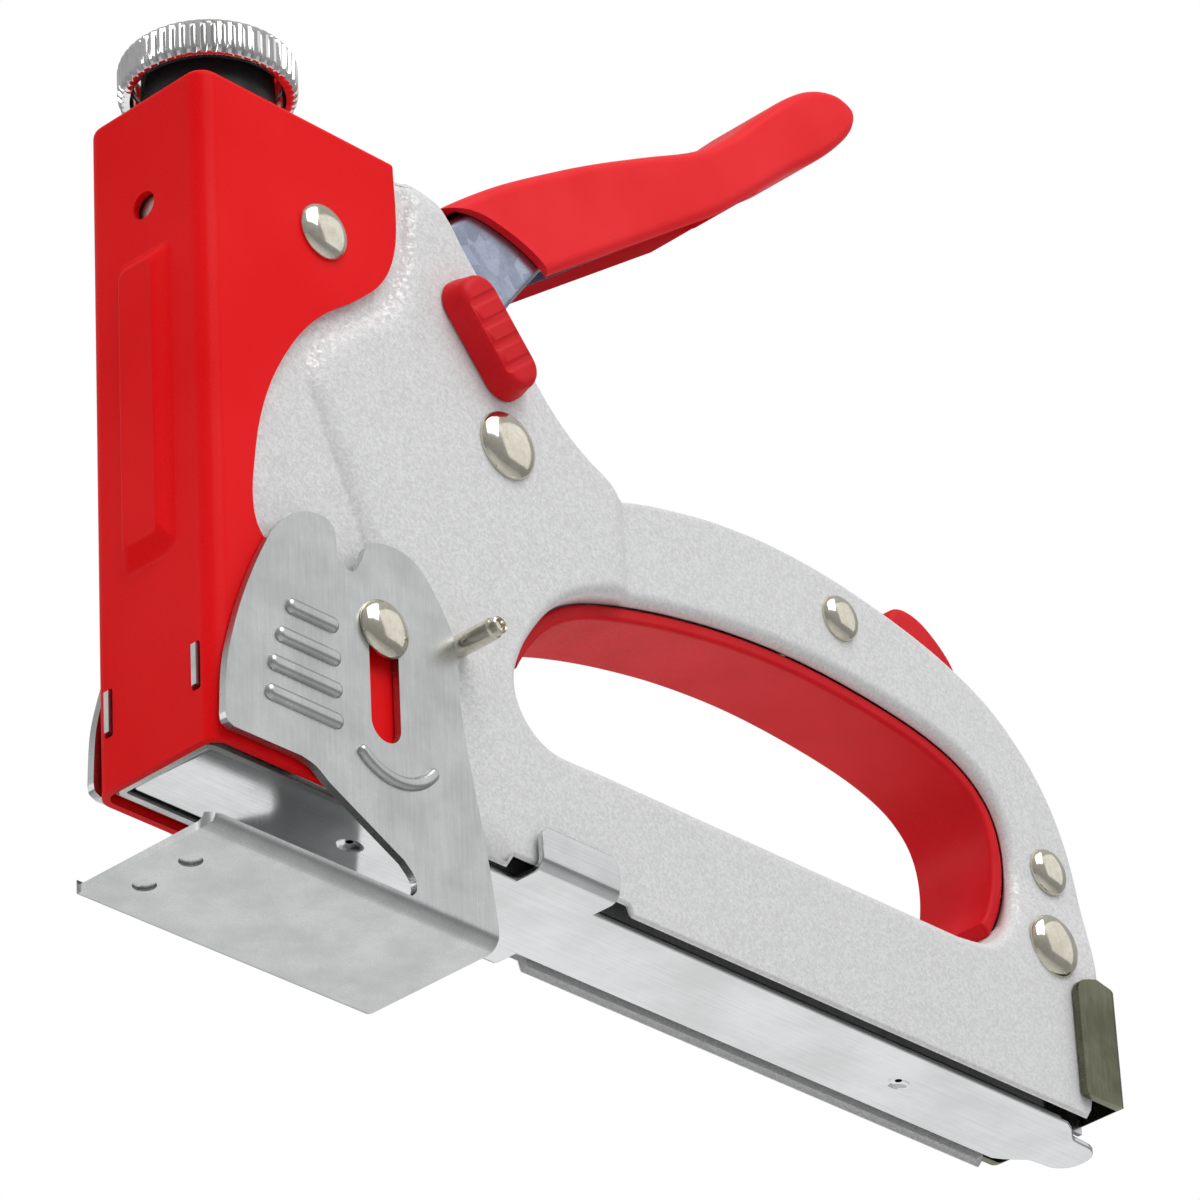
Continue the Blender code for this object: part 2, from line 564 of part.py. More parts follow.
def lever():
    """Steel channel with the roller that lifts the hammer, and the moulded sleeve over its handle."""
    reach = math.radians(180 + lever_swing / 2 - lever_lean)
    roller_u, roller_v = roller_reach * math.cos(reach), roller_reach * math.sin(reach)
    arm = [(0, -7), (5, -5), (7.6, 0.5), (12, 12), (19, 17.6), (34, 22.4, 0), (90, 23.4, 0), (91.6, 26),
           (88, 28.4), (76, 29.8), (60, 31.8), (47, 33.2), (32, 34), (20, 33.6), (12, 30), (3, 16), (-6, 9.5),
           (roller_u + 8, roller_v + 3.6), (roller_u, roller_v + 3.4), (roller_u - 3.2, roller_v),
           (roller_u - 1, roller_v - 3.2), (-14, 0), (-6.5, -3.5)]
    profile = [handle_point(*p) for p in smooth(arm)]
    steel = flat_solid("lever_arm", [profile], -lever_half, lever_half)
    space = [(-60, -20), (20, -20), (100, 20), (100, 26.2), (88, 26.9), (76, 28.3), (60, 30.3), (47, 31.7),
             (32, 32.5), (21, 32), (13.4, 28.6), (6, 18.5), (-2, 30), (-60, 30)]
    inner = lever_half - lever_wall
    cut(steel, flat_solid("arm_space", [[handle_point(*p) for p in space]], -inner, inner, "side", True))
    pins = [circle(pivot_x, pivot_z, 3.2, 24), circle(*handle_point(roller_u, roller_v), 1.4, 16)]
    cut(steel, flat_solid("arm_holes", pins, -20, 20, "side", True))
    finish(steel, zinc, lever_joint)

    sleeve = [(17.8, 35.5, 0), (32, 36), (47, 35.3), (58, 34.4), (70, 33), (82, 31.5), (91.5, 31.8),
              (101.5, 33.4), (111, 34.6), (118, 34.5), (123.4, 32.6), (125.6, 29.2), (123.4, 26.6),
              (118, 25), (111, 24), (103, 23.6), (92, 22.4), (80, 21.2, 0), (33.3, 21, 0)]
    outer = flat_solid("lever_grip", [[handle_point(*p) for p in smooth(sleeve)]], -8.1, 8.1)
    soften = outer.modifiers.new("soften", "BEVEL")
    soften.width = 1.6 * mm
    soften.segments = 2
    soften.angle_limit = math.radians(50)
    room = [(0, 10), (92.6, 10), (92.6, 27.6), (89, 29.1), (76, 30.4), (60, 32.5), (47, 33.9), (32, 34.6),
            (10, 34.4)]
    inside = flat_solid("grip_room", [[handle_point(*p) for p in room]], -lever_half - gap,
                        lever_half + gap, "side", True)
    cut(outer, inside)
    finish(outer, red_vinyl, lever_joint)

    x, z = handle_point(roller_u, roller_v)
    roll = [(1.4, 4.8), (roller_r, 4.8), (roller_r, -4.8), (1.4, -4.8), (1.4, 4.8)]
    finish(turned("lift_roller", roll, (x, 0, z), "Y", 24), bright_steel, lever_joint)
    pin = [(0, 6.9), (1.1, 6.9), (1.1, -6.9), (0, -6.9)]
    finish(turned("roller_pin", pin, (x, 0, z), "Y", 16), bright_steel, lever_joint)


def lever_spring():
    """Torsion spring round the lever's rivet."""
    turns, per_turn, radius = 4, 14, 4.6
    points = []
    for i in range(turns * per_turn + 1):
        angle = math.tau * i / per_turn
        points.append((pivot_x + radius * math.cos(angle), -3.4 + 6.8 * i / (turns * per_turn),
                       pivot_z + radius * math.sin(angle)))
    points.insert(0, (pivot_x + radius, -3.4, pivot_z - 6))
    points.append((pivot_x + radius, 3.4, pivot_z + 6))
    finish(tube("lever_spring", points, 0.6), spring_steel)


def lock_outline(length, width, shift=0):
    """A rounded bar along the lock's slide, pushed along it by the shift."""
    turn = math.radians(129.7)
    x, z = 53.6 + shift * math.cos(turn), 82.9 + shift * math.sin(turn)
    half, side, radius = length / 2, width / 2, width * 0.42
    path = rounded([(-half, -side, radius), (half, -side, radius), (half, side, radius), (-half, side, radius)])
    return [(x + u * math.cos(turn) - v * math.sin(turn), z + u * math.sin(turn) + v * math.cos(turn))
            for u, v in path]


def lock_slider():
    """Thumb slider on the left side with a stem through the shell and a foot behind it."""
    base = -panel_half - gap
    slider = flat_solid("lock_slider", [lock_outline(18.8, 9.2)], base - 3.9, base)
    soften = slider.modifiers.new("soften", "BEVEL")
    soften.width = 1.2 * mm
    soften.segments = 2
    soften.angle_limit = math.radians(50)
    join(slider, flat_solid("lock_stem", [lock_outline(8, 3.6, -1.4)], base - 1, -7.4, "side", True),
         flat_solid("lock_foot", [lock_outline(11, 7, -1.4)], -8.7, -7.4, "side", True))
    finish(slider, red_plastic, lock_joint)


# ---- foot -------------------------------------------------------------------------------------

def foot_stirrup():
    """One bent strip: a sole and two slotted ears."""
    wide, deep = ear_half, ear_half - ear_wall
    section = rounded([(-wide, 60, 0), (-wide, sole_bottom, 2.4), (wide, sole_bottom, 2.4), (wide, 60, 0),
                       (deep, 60, 0), (deep, sole_top, 1.2), (-deep, sole_top, 1.2), (-deep, 60, 0)])
    foot = flat_solid("foot_stirrup", [section], -10, 60, "front")
    ear = smooth([
        (sole_front, sole_bottom - 1, 0), (sole_front, -12.6, 0), (33.6, -12.6, 0), (34.5, -11.4),
        (34.2, -9.6), (32.4, -7.8, 0), (19, -0.9, 0), (16.6, 0.7), (14, 1.3, 0), (2, 1.2, 0), (0.8, 1.8),
        (0.5, 3, 0), (1, 10.4), (2.4, 16.4), (4.4, 22.4), (7.2, 28.9), (10.2, 34.4), (13.2, 37.6),
        (16.4, 39.4), (19.4, 39.8), (21.1, 39), (21.7, 37), (22, 34.6), (24.4, 33.2), (26.2, 35.4),
        (27.4, 38.2), (29.8, 39.7), (33.2, 40.1), (36.4, 39.4), (38.9, 37.2), (41.4, 33.8), (43.3, 30.4),
        (44, 26), (44.1, 21), (44.8, 15.4), (46.3, 7.4), (47.8, 0.4), (48.8, -5.6), (sole_back, -12, 0),
        (sole_back, sole_bottom - 1, 0)], 2)
    boolean(foot, flat_solid("ear_trim", [ear], -20, 20, "side", True), "INTERSECT")
    r = foot_slot_half
    slot = rounded([(foot_rivet_x - r, 9.1, r - 0.01), (foot_rivet_x + r, 9.1, r - 0.01),
                    (foot_rivet_x + r, foot_rivet_z + r, r - 0.01), (foot_rivet_x - r, foot_rivet_z + r, r - 0.01)], 6)
    cut(foot, flat_solid("foot_slot", [slot], -20, 20, "side", True))
    finish(foot, zinc, foot_joint)


# ---- magazine ---------------------------------------------------------------------------------

def magazine_floor():
    """Flat floor with a rounded tongue and two side tabs bent up outside the shells."""
    w, high = floor_half, floor_low + floor_wall
    half_plan = [(floor_front, -w, 0), (172.5, -w, 1), (177.5, -4.6, 1), (184.6, -4, 3.6)]
    plan = rounded(half_plan + [(x, -y, r) for x, y, r in reversed(half_plan)])
    plate = flat_solid("magazine_floor", [plan], floor_low, high, "top")
    out, inner = tab_out, tab_out - floor_wall
    section = rounded([(-out, tab_top, 0.5), (-out, floor_low, 1.8), (out, floor_low, 1.8), (out, tab_top, 0.5),
                       (inner, tab_top, 0.3), (inner, high, 0.8), (-inner, high, 0.8), (-inner, tab_top, 0.3)])
    join(plate, flat_solid("floor_tabs", [section], tab_front, tab_back, "front", True))
    return finish(plate, chrome)


def magazine_channel():
    """Folded guide round the staples, open below."""
    out, inner, low, high = 7.1, 6.3, 2.3, 18.1
    section = rounded([(-out, low, 0), (-inner, low, 0), (-inner, high - 0.8, 0.4), (inner, high - 0.8, 0.4),
                       (inner, low, 0), (out, low, 0), (out, high, 1), (-out, high, 1)])
    return finish(flat_solid("magazine_channel", [section], 6, 168, "front"), zinc)


def magazine_tray():
    """The part that pulls out backwards: staple rail, guide rod and the clip round the body's end."""
    w, wall = rail_half, rail_wall
    section = [(-w, rail_low), (-w + wall, rail_low), (-w + wall, rail_high - wall), (w - wall, rail_high - wall),
               (w - wall, rail_low), (w, rail_low), (w, rail_high), (-w, rail_high)]
    rail = flat_solid("staple_rail", [section], 5, 179.4, "front")
    cut(rail, flat_solid("rail_slot", [box(9, -1.2, 160, 1.2)], 12, 18, "top", True))
    finish(rail, bright_steel, tray_joint)
    out, inner = clip_half, clip_half - clip_wall
    plan = rounded([(clip_front, -out, 0), (clip_back, -out, 1.8), (clip_back, out, 1.8), (clip_front, out, 0),
                    (clip_front, inner, 0), (clip_back - clip_wall, inner, 0.6),
                    (clip_back - clip_wall, -inner, 0.6), (clip_front, -inner, 0)])
    clip = flat_solid("rear_clip", [plan], clip_low, clip_high, "top")
    ear = rounded([(clip_front - 1, clip_low - 1, 0), (clip_front, clip_low, 0.6), (clip_back + 1, clip_low, 3.4),
                   (clip_back + 1, 22.4, 1.6), (176, 23.6, 0.6), (clip_front, 22.4, 2.4)][1:])
    boolean(clip, flat_solid("clip_trim", [ear], -20, 20, "side", True), "INTERSECT")
    hole = flat_solid("rod_hole", [circle(0, rod_z, rod_r + gap, 16)], 170, 190, "front", True)
    cut(clip, hole)
    finish(clip, zinc, tray_joint)
    profile = [(0, 182.6), (1.6, 182.4), (2.4, 181.5), (2.4, 181.3), (rod_r, 181.3), (rod_r, 7), (0, 7)]
    finish(turned("guide_rod", profile, (0, 0, rod_z), "X", 12), bright_steel, tray_joint)


def staple_pusher():
    """Saddle over the rail with a fin through its slot and a block on the guide rod."""
    section = [(-5.7, 3), (-4.9, 3), (-4.9, 16.1), (4.9, 16.1), (4.9, 3), (5.7, 3), (5.7, 16.9), (-5.7, 16.9)]
    saddle = flat_solid("staple_pusher", [section], 10, 24, "front")
    join(saddle, flat_solid("pusher_fin", [box(-0.8, 9, 0.8, 16.5)], 12, 20, "front", True),
         flat_solid("pusher_block", [box(-2.8, 5.6, 2.8, 12.8)], 12, 20, "front", True))
    cut(saddle, flat_solid("pusher_bore", [circle(0, rod_z, rod_r + gap, 16)], 5, 30, "front", True))
    finish(saddle, zinc, pusher_joint)
    turns, per_turn = 20, 10
    points = []
    for i in range(turns * per_turn + 1):
        angle = math.tau * i / per_turn
        points.append((20.9 + 150 * i / (turns * per_turn), 2.5 * math.cos(angle), rod_z + 2.5 * math.sin(angle)))
    finish(tube("pusher_spring", points, 0.4, 1), spring_steel, pusher_joint)


# ---- assembly ---------------------------------------------------------------------------------

for old in list(bpy.data.objects):
    bpy.data.objects.remove(old)
parts, cutters = new_collection("staple_gun"), new_collection("cutters")
bench = bpy.data.objects.new("bench", None)
parts.objects.link(bench)
bench.location = Vector((-origin_x, 0, -origin_z)) * mm

red_paint = paint("red_paint", (0.72, 0.012, 0.018), 0.38, 0.0)
silver_paint = paint("silver_paint", (0.56, 0.57, 0.58), 0.45, 0.6)
zinc = paint("zinc", (0.5, 0.52, 0.5), 0.32, 1.0)
chrome = paint("chrome", (0.72, 0.73, 0.75), 0.1, 1.0)
nickel = paint("nickel", (0.66, 0.62, 0.5), 0.14, 1.0)
bright_steel = paint("bright_steel", (0.6, 0.6, 0.6), 0.25, 1.0)
spring_steel = paint("spring_steel", (0.25, 0.26, 0.28), 0.35, 1.0)
red_plastic = paint("red_plastic", (0.6, 0.012, 0.02), 0.5, 0.0)
red_vinyl = paint("red_vinyl", (0.72, 0.02, 0.03), 0.45, 0.0)
black_plastic = paint("black_plastic", (0.02, 0.02, 0.022), 0.4, 0.0)
rubber = paint("rubber", (0.03, 0.03, 0.03), 0.8, 0.0)

lever_joint = joint_empty("lever_axis", pivot_x, 0, pivot_z)
hammer_joint = joint_empty("hammer_axis", knob_x, 0, 42)
seat_joint = joint_empty("seat_axis", knob_x, 0, 93)
knob_joint = joint_empty("knob_axis", knob_x, 0, 110)
lock_joint = joint_empty("lock_axis", 53.6, -panel_half, 82.9)
foot_joint = joint_empty("foot_axis", foot_rivet_x, 0, foot_rivet_z)
tray_joint = joint_empty("tray_axis", clip_back, 0, rod_z)
pusher_joint = joint_empty("pusher_axis", 10, 0, rod_z)

nose_cover()
nose_channel()
hammer_bumper()
screw_bridge()
body_shell("body_shell_left", -1)
body_shell("body_shell_right", 1)
grip_insert()
cover_rivet("cover_rivet_left", -1)
cover_rivet("cover_rivet_right", 1)
through_rivet("lever_rivet", pivot_x, pivot_z, 5.2, 2.8, 2.2, panel_half + 0.15)
through_rivet("foot_rivet", foot_rivet_x, foot_rivet_z, 4.3, 2.4, 1.9, ear_half + 0.15)
through_rivet("grip_rivet", 128.3, 67.8, 3.6, 1.9, 1.6, grip_half + 0.15)
through_rivet("rear_upper_rivet", 171, 40.9, 3.7, 1.9, 1.6, grip_half + 0.15)
through_rivet("rear_lower_rivet", 168.8, 27.2, 4.9, 2.4, 2.0, bar_half + 0.15)
stop_stud()
adjusting_knob()
spring_seat()
hammer()
lever()
lever_spring()
lock_slider()
foot_stirrup()
magazine_floor()
magazine_channel()
magazine_tray()
staple_pusher()
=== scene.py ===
from math import cos, pi, radians, sin, sqrt, tan, tau

import bmesh
import bpy
from mathutils import Matrix, Vector, geometry


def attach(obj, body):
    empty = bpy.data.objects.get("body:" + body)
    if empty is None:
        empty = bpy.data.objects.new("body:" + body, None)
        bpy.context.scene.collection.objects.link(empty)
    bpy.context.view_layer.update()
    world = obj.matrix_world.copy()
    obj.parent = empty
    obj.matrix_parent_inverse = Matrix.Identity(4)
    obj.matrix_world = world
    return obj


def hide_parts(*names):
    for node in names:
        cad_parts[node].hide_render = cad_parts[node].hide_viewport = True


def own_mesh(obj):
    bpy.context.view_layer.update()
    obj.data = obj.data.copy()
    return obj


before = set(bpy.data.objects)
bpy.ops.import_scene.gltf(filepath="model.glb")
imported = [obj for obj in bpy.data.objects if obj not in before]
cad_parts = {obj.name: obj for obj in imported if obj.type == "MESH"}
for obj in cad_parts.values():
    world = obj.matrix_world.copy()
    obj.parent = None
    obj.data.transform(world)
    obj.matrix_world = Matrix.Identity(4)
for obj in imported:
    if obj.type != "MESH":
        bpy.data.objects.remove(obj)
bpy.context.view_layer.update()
print("frame loaded:", len(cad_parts), "nodes")

# Shapes are written in millimetres on the bench: x back from the nose, y across, z up from the nose's foot.
benchShift = Vector((-23.35, 0, 15))
benchToWorld = Matrix.Scale(0.001, 4) @ Matrix.Translation(benchShift)


# outlines

def smoothPath(points, steps=6, closed=True):
    # a curve through the points; a third value of 0 keeps a corner sharp
    count, path = len(points), []
    for i in range(count if closed else count - 1):
        p0, p1, p2, p3 = (points[(i + k) % count] if closed else points[min(max(i + k, 0), count - 1)]
                          for k in (-1, 0, 1, 2))
        a, b, c, d = (Vector(p[:2]) for p in (p0, p1, p2, p3))
        if len(p1) == 3 and len(p2) == 3:
            path.append(tuple(b))
            continue
        if len(p1) == 3:
            a = b - (c - b) * 0.5
        if len(p2) == 3:
            d = c + (c - b) * 0.5
        for step in range(steps):
            t = step / steps
            path.append(tuple(0.5 * (2 * b + (c - a) * t + (2 * a - 5 * b + 4 * c - d) * t ** 2
                                     + (3 * b - a - 3 * c + d) * t ** 3)))
    if not closed:
        path.append(tuple(points[-1][:2]))
    return path


def roundedPath(corners, steps=6):
    # corners are (x, y, radius)
    path, count = [], len(corners)
    for i in range(count):
        here = Vector(corners[i][:2])
        back = (Vector(corners[i - 1][:2]) - here).normalized()
        ahead = (Vector(corners[(i + 1) % count][:2]) - here).normalized()
        radius = corners[i][2]
        if radius == 0:
            path.append(tuple(here))
            continue
        half = back.angle(ahead) / 2
        reach = radius / tan(half)
        centre = here + (back + ahead).normalized() * radius / sin(half)
        start, end = here + back * reach - centre, here + ahead * reach - centre
        turn = start.angle_signed(end)
        for step in range(steps + 1):
            path.append(tuple(centre + Matrix.Rotation(-turn * step / steps, 2) @ start))
    return path


def barPath(x0, y0, x1, y1, radius, steps=6):
    return roundedPath([(x0, y0, radius), (x1, y0, radius), (x1, y1, radius), (x0, y1, radius)], steps)


def polar(x, y, radius, turn):
    return x + radius * cos(turn), y + radius * sin(turn)


def circlePath(x, y, radius, count=32):
    return [polar(x, y, radius, tau * i / count) for i in range(count)]


def areaOf(path):
    return sum(path[i - 1][0] * path[i][1] - path[i][0] * path[i - 1][1] for i in range(len(path))) / 2


def offsetPath(path, distance):
    # moved outwards, whichever way round the path runs
    count, side, moved = len(path), 1 if areaOf(path) > 0 else -1, []
    for i in range(count):
        before, here, after = (Vector(path[(i + k) % count]) for k in (-1, 0, 1))
        first, second = (here - before).normalized(), (after - here).normalized()
        normal = Vector((first.y + second.y, -first.x - second.x)).normalized()
        stretch = max(0.6, sqrt(max(0, (1 + first.dot(second)) / 2)))
        moved.append(tuple(here + normal * side * distance / stretch))
    return moved


def resample(path, step):
    # splits long edges so that none is longer than the step
    fine = []
    for i, start in enumerate(path):
        a, b = Vector(start), Vector(path[(i + 1) % len(path)])
        parts = max(1, round((b - a).length / step))
        fine += [tuple(a.lerp(b, k / parts)) for k in range(parts)]
    return fine


def isInside(point, path):
    x, y = point
    inside = False
    for i in range(len(path)):
        (x0, y0), (x1, y1) = path[i - 1], path[i]
        if (y0 > y) != (y1 > y) and x < x0 + (y - y0) / (y1 - y0) * (x1 - x0):
            inside = not inside
    return inside


def distanceTo(point, path, closed=True):
    p, best = Vector(point), 1e9
    for i in range(0 if closed else 1, len(path)):
        a, b = Vector(path[i - 1]), Vector(path[i])
        edge = b - a
        t = min(1, max(0, (p - a).dot(edge) / max(edge.length_squared, 1e-9)))
        best = min(best, (p - a - edge * t).length)
    return best


def blendStep(low, high, value):
    t = min(1, max(0, (value - low) / (high - low)))
    return t * t * (3 - 2 * t)


# meshes

def meshOf(name, shape, weld):
    mesh = bpy.data.meshes.new(name)
    mesh.from_pydata([tuple(v) for v in shape[0]], [], shape[1])
    bm = bmesh.new()
    bm.from_mesh(mesh)
    bmesh.ops.remove_doubles(bm, verts=bm.verts, dist=weld)
    bmesh.ops.recalc_face_normals(bm, faces=bm.faces)
    bm.to_mesh(mesh)
    bm.free()
    return mesh


def linked(name, data):
    thing = bpy.data.objects.new(name, data)
    bpy.context.scene.collection.objects.link(thing)
    return thing


def makePiece(name, shape, *rest):
    return addPiece(name, meshOf(name, shape, 0.0004), *rest)


def weighNormals(piece):
    piece.modifiers.new("flatFaces", "WEIGHTED_NORMAL").keep_sharp = True


def addPiece(name, mesh, body, look, stands=(), smoothAngle=38, weighted=True):
    mesh.transform(benchToWorld)
    mesh.shade_smooth()
    mesh.set_sharp_from_angle(angle=radians(smoothAngle))
    piece = linked(name, mesh)
    if weighted:
        weighNormals(piece)
    mesh.materials.append(looks[look])
    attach(piece, body)
    if stands:
        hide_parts(*stands)
    return piece


def capTriangles(rings, extra, lines=()):
    # triangles between the closed rings (the first is the outer one), with extra points and lines inside
    points, edges, starts = [], [], []
    for ring in rings:
        first = len(points)
        starts.append(first)
        points += [Vector(p) for p in ring]
        edges += [(first + i, first + (i + 1) % len(ring)) for i in range(len(ring))]
    points += [Vector(p) for p in extra]
    for line in lines:
        edges += [(len(points) + i, len(points) + i + 1) for i in range(len(line) - 1)]
        points += [Vector(p) for p in line]
    found = geometry.delaunay_2d_cdt(points, edges, [], 0, 1e-4, True)
    outVerts, outFaces, sources = found[0], found[2], found[3]
    place = {}
    for i, origin in enumerate(sources):
        for j in origin:
            place[j] = i
    ringIndex = [[place[starts[k] + i] for i in range(len(ring))] for k, ring in enumerate(rings)]
    within, beyond = set(), set()
    for k, (ring, index) in enumerate(zip(rings, ringIndex)):
        for a, b in zip(index, index[1:] + index[:1]):
            edge = (a, b) if (areaOf(ring) > 0) == (k == 0) else (b, a)
            within.add(edge)
            beyond.add(edge[::-1])
    keep = []
    for tri in outFaces:
        sides = {(tri[0], tri[1]), (tri[1], tri[2]), (tri[2], tri[0])}
        middle = sum((outVerts[i] for i in tri), Vector((0, 0))) / 3
        if sides & within:
            keep.append(tuple(tri))
        elif not sides & beyond and isInside(middle, rings[0]) and not any(isInside(middle, r) for r in rings[1:]):
            keep.append(tuple(tri))
    return [tuple(v) for v in outVerts], keep, ringIndex


def gridPoints(rings, step, margin):
    # evenly spaced points inside the outer ring and outside the holes, kept off the edges
    xs = [p[0] for p in rings[0]]
    ys = [p[1] for p in rings[0]]
    x0, x1, y0, y1 = min(xs), max(xs), min(ys), max(ys)
    spots = []
    for row in range(int((y1 - y0) / (step * 0.866)) + 1):
        for column in range(int((x1 - x0) / step) + 1):
            p = (x0 + (column + 0.5 * (row % 2)) * step, y0 + row * step * 0.866)
            if isInside(p, rings[0]) and not any(isInside(p, ring) for ring in rings[1:]):
                if all(distanceTo(p, ring) > margin for ring in rings):
                    spots.append(p)
    return spots


def strip(first, second):
    # four-sided faces between two closed rows of points
    count = len(first)
    return [(first[i], first[(i + 1) % count], second[(i + 1) % count], second[i]) for i in range(count)]


def plate(loops, low, high, edge=0.25, steps=3, place=None):
    # a plate between two heights with rounded edges, moved into position by place
    rings = [offsetPath(loop, -edge if k == 0 else edge) for k, loop in enumerate(loops)]
    flat, triangles, ringIndex = capTriangles(rings, ())
    verts = [(x, y, high) for x, y in flat] + [(x, y, low) for x, y in flat]
    under = len(flat)
    faces = triangles + [tuple(under + i for i in reversed(t)) for t in triangles]
    for loop, ring, index in zip(loops, rings, ringIndex):
        previous, count = index, len(loop)
        for k in range(1, 2 * steps + 2):
            turn = pi / 2 * min(k, 2 * steps + 1 - k) / steps
            inward, drop = 1 - sin(turn), edge * (1 - cos(turn))
            height = high - drop if k <= steps else low + drop
            if k == 2 * steps + 1:
                current = [under + i for i in index]
            else:
                current = list(range(len(verts), len(verts) + count))
                verts += [(x + (u - x) * inward, y + (v - y) * inward, height)
                          for (x, y), (u, v) in zip(loop, ring)]
            faces += strip(previous, current)
            previous = current
    if place:
        verts = [place(*v) for v in verts]
    return verts, faces


def onSide(sign):
    # plate height becomes distance from the middle plane
    return lambda x, y, z: (x, sign * z, y)


def flatTop(x, y, z):
    return x, y, z


def alongX(y, z, x):
    return x, y, z


def spin(profile, place, axis="Z", sides=48, wobble=None):
    # a turned mesh: (radius, height) points from one end on the axis to the other
    verts, faces, rows = [], [], []
    for radius, height in profile:
        if radius < 1e-6:
            rows.append([len(verts)])
            verts.append((0, 0, height))
        else:
            rows.append(list(range(len(verts), len(verts) + sides)))
            for i in range(sides):
                r = radius + (wobble(i, radius, height) if wobble else 0)
                verts.append((r * cos(tau * i / sides), r * sin(tau * i / sides), height))
    for upper, lower in zip(rows, rows[1:]):
        for i in range(sides):
            a, b = upper[i % len(upper)], upper[(i + 1) % len(upper)]
            c, d = lower[(i + 1) % len(lower)], lower[i % len(lower)]
            face = tuple(dict.fromkeys((a, b, c, d)))
            if len(face) > 2:
                faces.append(face)
    aim = {"Z": Matrix.Identity(3), "Y": Matrix.Rotation(-pi / 2, 3, "X"),
           "-Y": Matrix.Rotation(pi / 2, 3, "X")}[axis]
    return [tuple(Vector(place) + aim @ Vector(v)) for v in verts], faces


def arcProfile(centreR, centreZ, radius, start, end, steps=6):
    # points (r, z) of a round edge between two angles in degrees, 0 outwards and 90 up
    return [polar(centreR, centreZ, radius, radians(start + (end - start) * i / steps))
            for i in range(steps + 1)]


def together(*parts):
    verts, faces = [], []
    for partVerts, partFaces in parts:
        first = len(verts)
        verts += partVerts
        faces += [tuple(first + i for i in face) for face in partFaces]
    return verts, faces


# finishes

class Wire:
    # a socket whose arithmetic adds Math nodes
    def __init__(self, tree, socket):
        self.tree, self.socket = tree, socket

    def math(self, operation, *values):
        made = self.tree.nodes.new("ShaderNodeMath")
        made.operation = operation
        for slot, value in zip(made.inputs, values):
            join(self.tree, value, slot)
        return Wire(self.tree, made.outputs[0])

    def __add__(self, other):
        return self.math("ADD", self, other)

    def __mul__(self, other):
        return self.math("MULTIPLY", self, other)

    __radd__ = __add__
    __rmul__ = __mul__


def join(tree, value, slot):
    if isinstance(value, Wire):
        tree.links.new(value.socket, slot)
    elif slot.type == "RGBA":
        slot.default_value = (*value[:3], 1)
    else:
        slot.default_value = value


class Finish:
    # a material made of nodes; fixed values go straight on its shader
    def __init__(self, name, **fixed):
        self.material = bpy.data.materials.new(name)
        self.material.use_nodes = True
        self.tree = self.material.node_tree
        self.shader = self.tree.nodes["Principled BSDF"]
        for key, value in fixed.items():
            join(self.tree, value, self.shader.inputs[socketNames[key]])
        self.base = self.node("TexCoord", out="Object")
        self.spot = self.node("VectorMath", {"operation": "SCALE"}, {"Vector": self.base, "Scale": 1000})

    def node(self, kind, settings=None, values=None, out=0):
        made = self.tree.nodes.new("ShaderNode" + kind)
        for key, value in (settings or {}).items():
            setattr(made, key, value)
        for key, value in (values or {}).items():
            join(self.tree, value, made.inputs[key])
        return Wire(self.tree, made.outputs[out])

    def stretched(self, x, y, z):
        return self.node("VectorMath", {"operation": "MULTIPLY"}, {0: self.spot, 1: (x, y, z)})

    def noise(self, size, detail=2.0, roughness=0.5, where=None):
        # size is the width of its features in millimetres
        return self.node("TexNoise", {}, {"Vector": where or self.spot, "Scale": 1 / size, "Detail": detail,
                                          "Roughness": roughness})

    def cells(self, size, out="Distance"):
        return self.node("TexVoronoi", {}, {"Vector": self.spot, "Scale": 1 / size}, out)

    def span(self, value, low, high, toLow=0.0, toHigh=1.0):
        return self.node("MapRange", {"interpolation_type": "SMOOTHSTEP"},
                         {"Value": value, "From Min": low, "From Max": high, "To Min": toLow, "To Max": toHigh})

    def mix(self, factor, first, second):
        return self.node("Mix", {"data_type": "RGBA"}, {0: factor, 6: first, 7: second}, 2)

    def set(self, **values):
        for key, value in values.items():
            join(self.tree, value, self.shader.inputs[socketNames[key]])
        return self

    def bump(self, height, depth, strength):
        # depth in millimetres
        return self.node("Bump", {}, {"Height": height, "Distance": depth / 1000, "Strength": strength})


socketNames = {"colour": "Base Color", "roughness": "Roughness", "metallic": "Metallic", "coat": "Coat Weight",
               "coatRoughness": "Coat Roughness", "normal": "Normal", "specular": "Specular IOR Level"}


def silverPaintLook():
    # light grey paint full of fine metal flakes over a slightly pebbled casting
    f = Finish("silverPaint", coatRoughness=0.35, specular=0.35)
    flake = f.cells(0.42, "Color")
    flakeTone = f.node("SeparateColor", {}, {"Color": flake}, 0)
    coarse, fine = f.noise(0.5, 3, 0.65), f.noise(0.25, 2, 0.6)
    cloud = f.noise(22, 3, 0.55)
    tone = f.span(coarse * 0.55 + fine * 0.25 + flakeTone * 0.2, 0.3, 0.72)
    colour = f.mix(tone, (0.67, 0.672, 0.67), (0.86, 0.862, 0.864))
    colour = f.mix(f.span(cloud, 0.3, 0.75, 0, 0.2), colour, (0.77, 0.775, 0.77))
    f.set(colour=colour, metallic=f.span(flakeTone, 0.35, 0.9, 0.0, 0.2),
          roughness=f.span(flakeTone * 0.6 + fine * 0.4, 0.2, 0.8, 0.66, 0.48),
          coat=f.span(cloud, 0.3, 0.7, 0.0, 0.06))
    f.set(normal=f.bump(coarse * 0.7 + fine * 0.3, 0.025, 0.6))
    return f.material


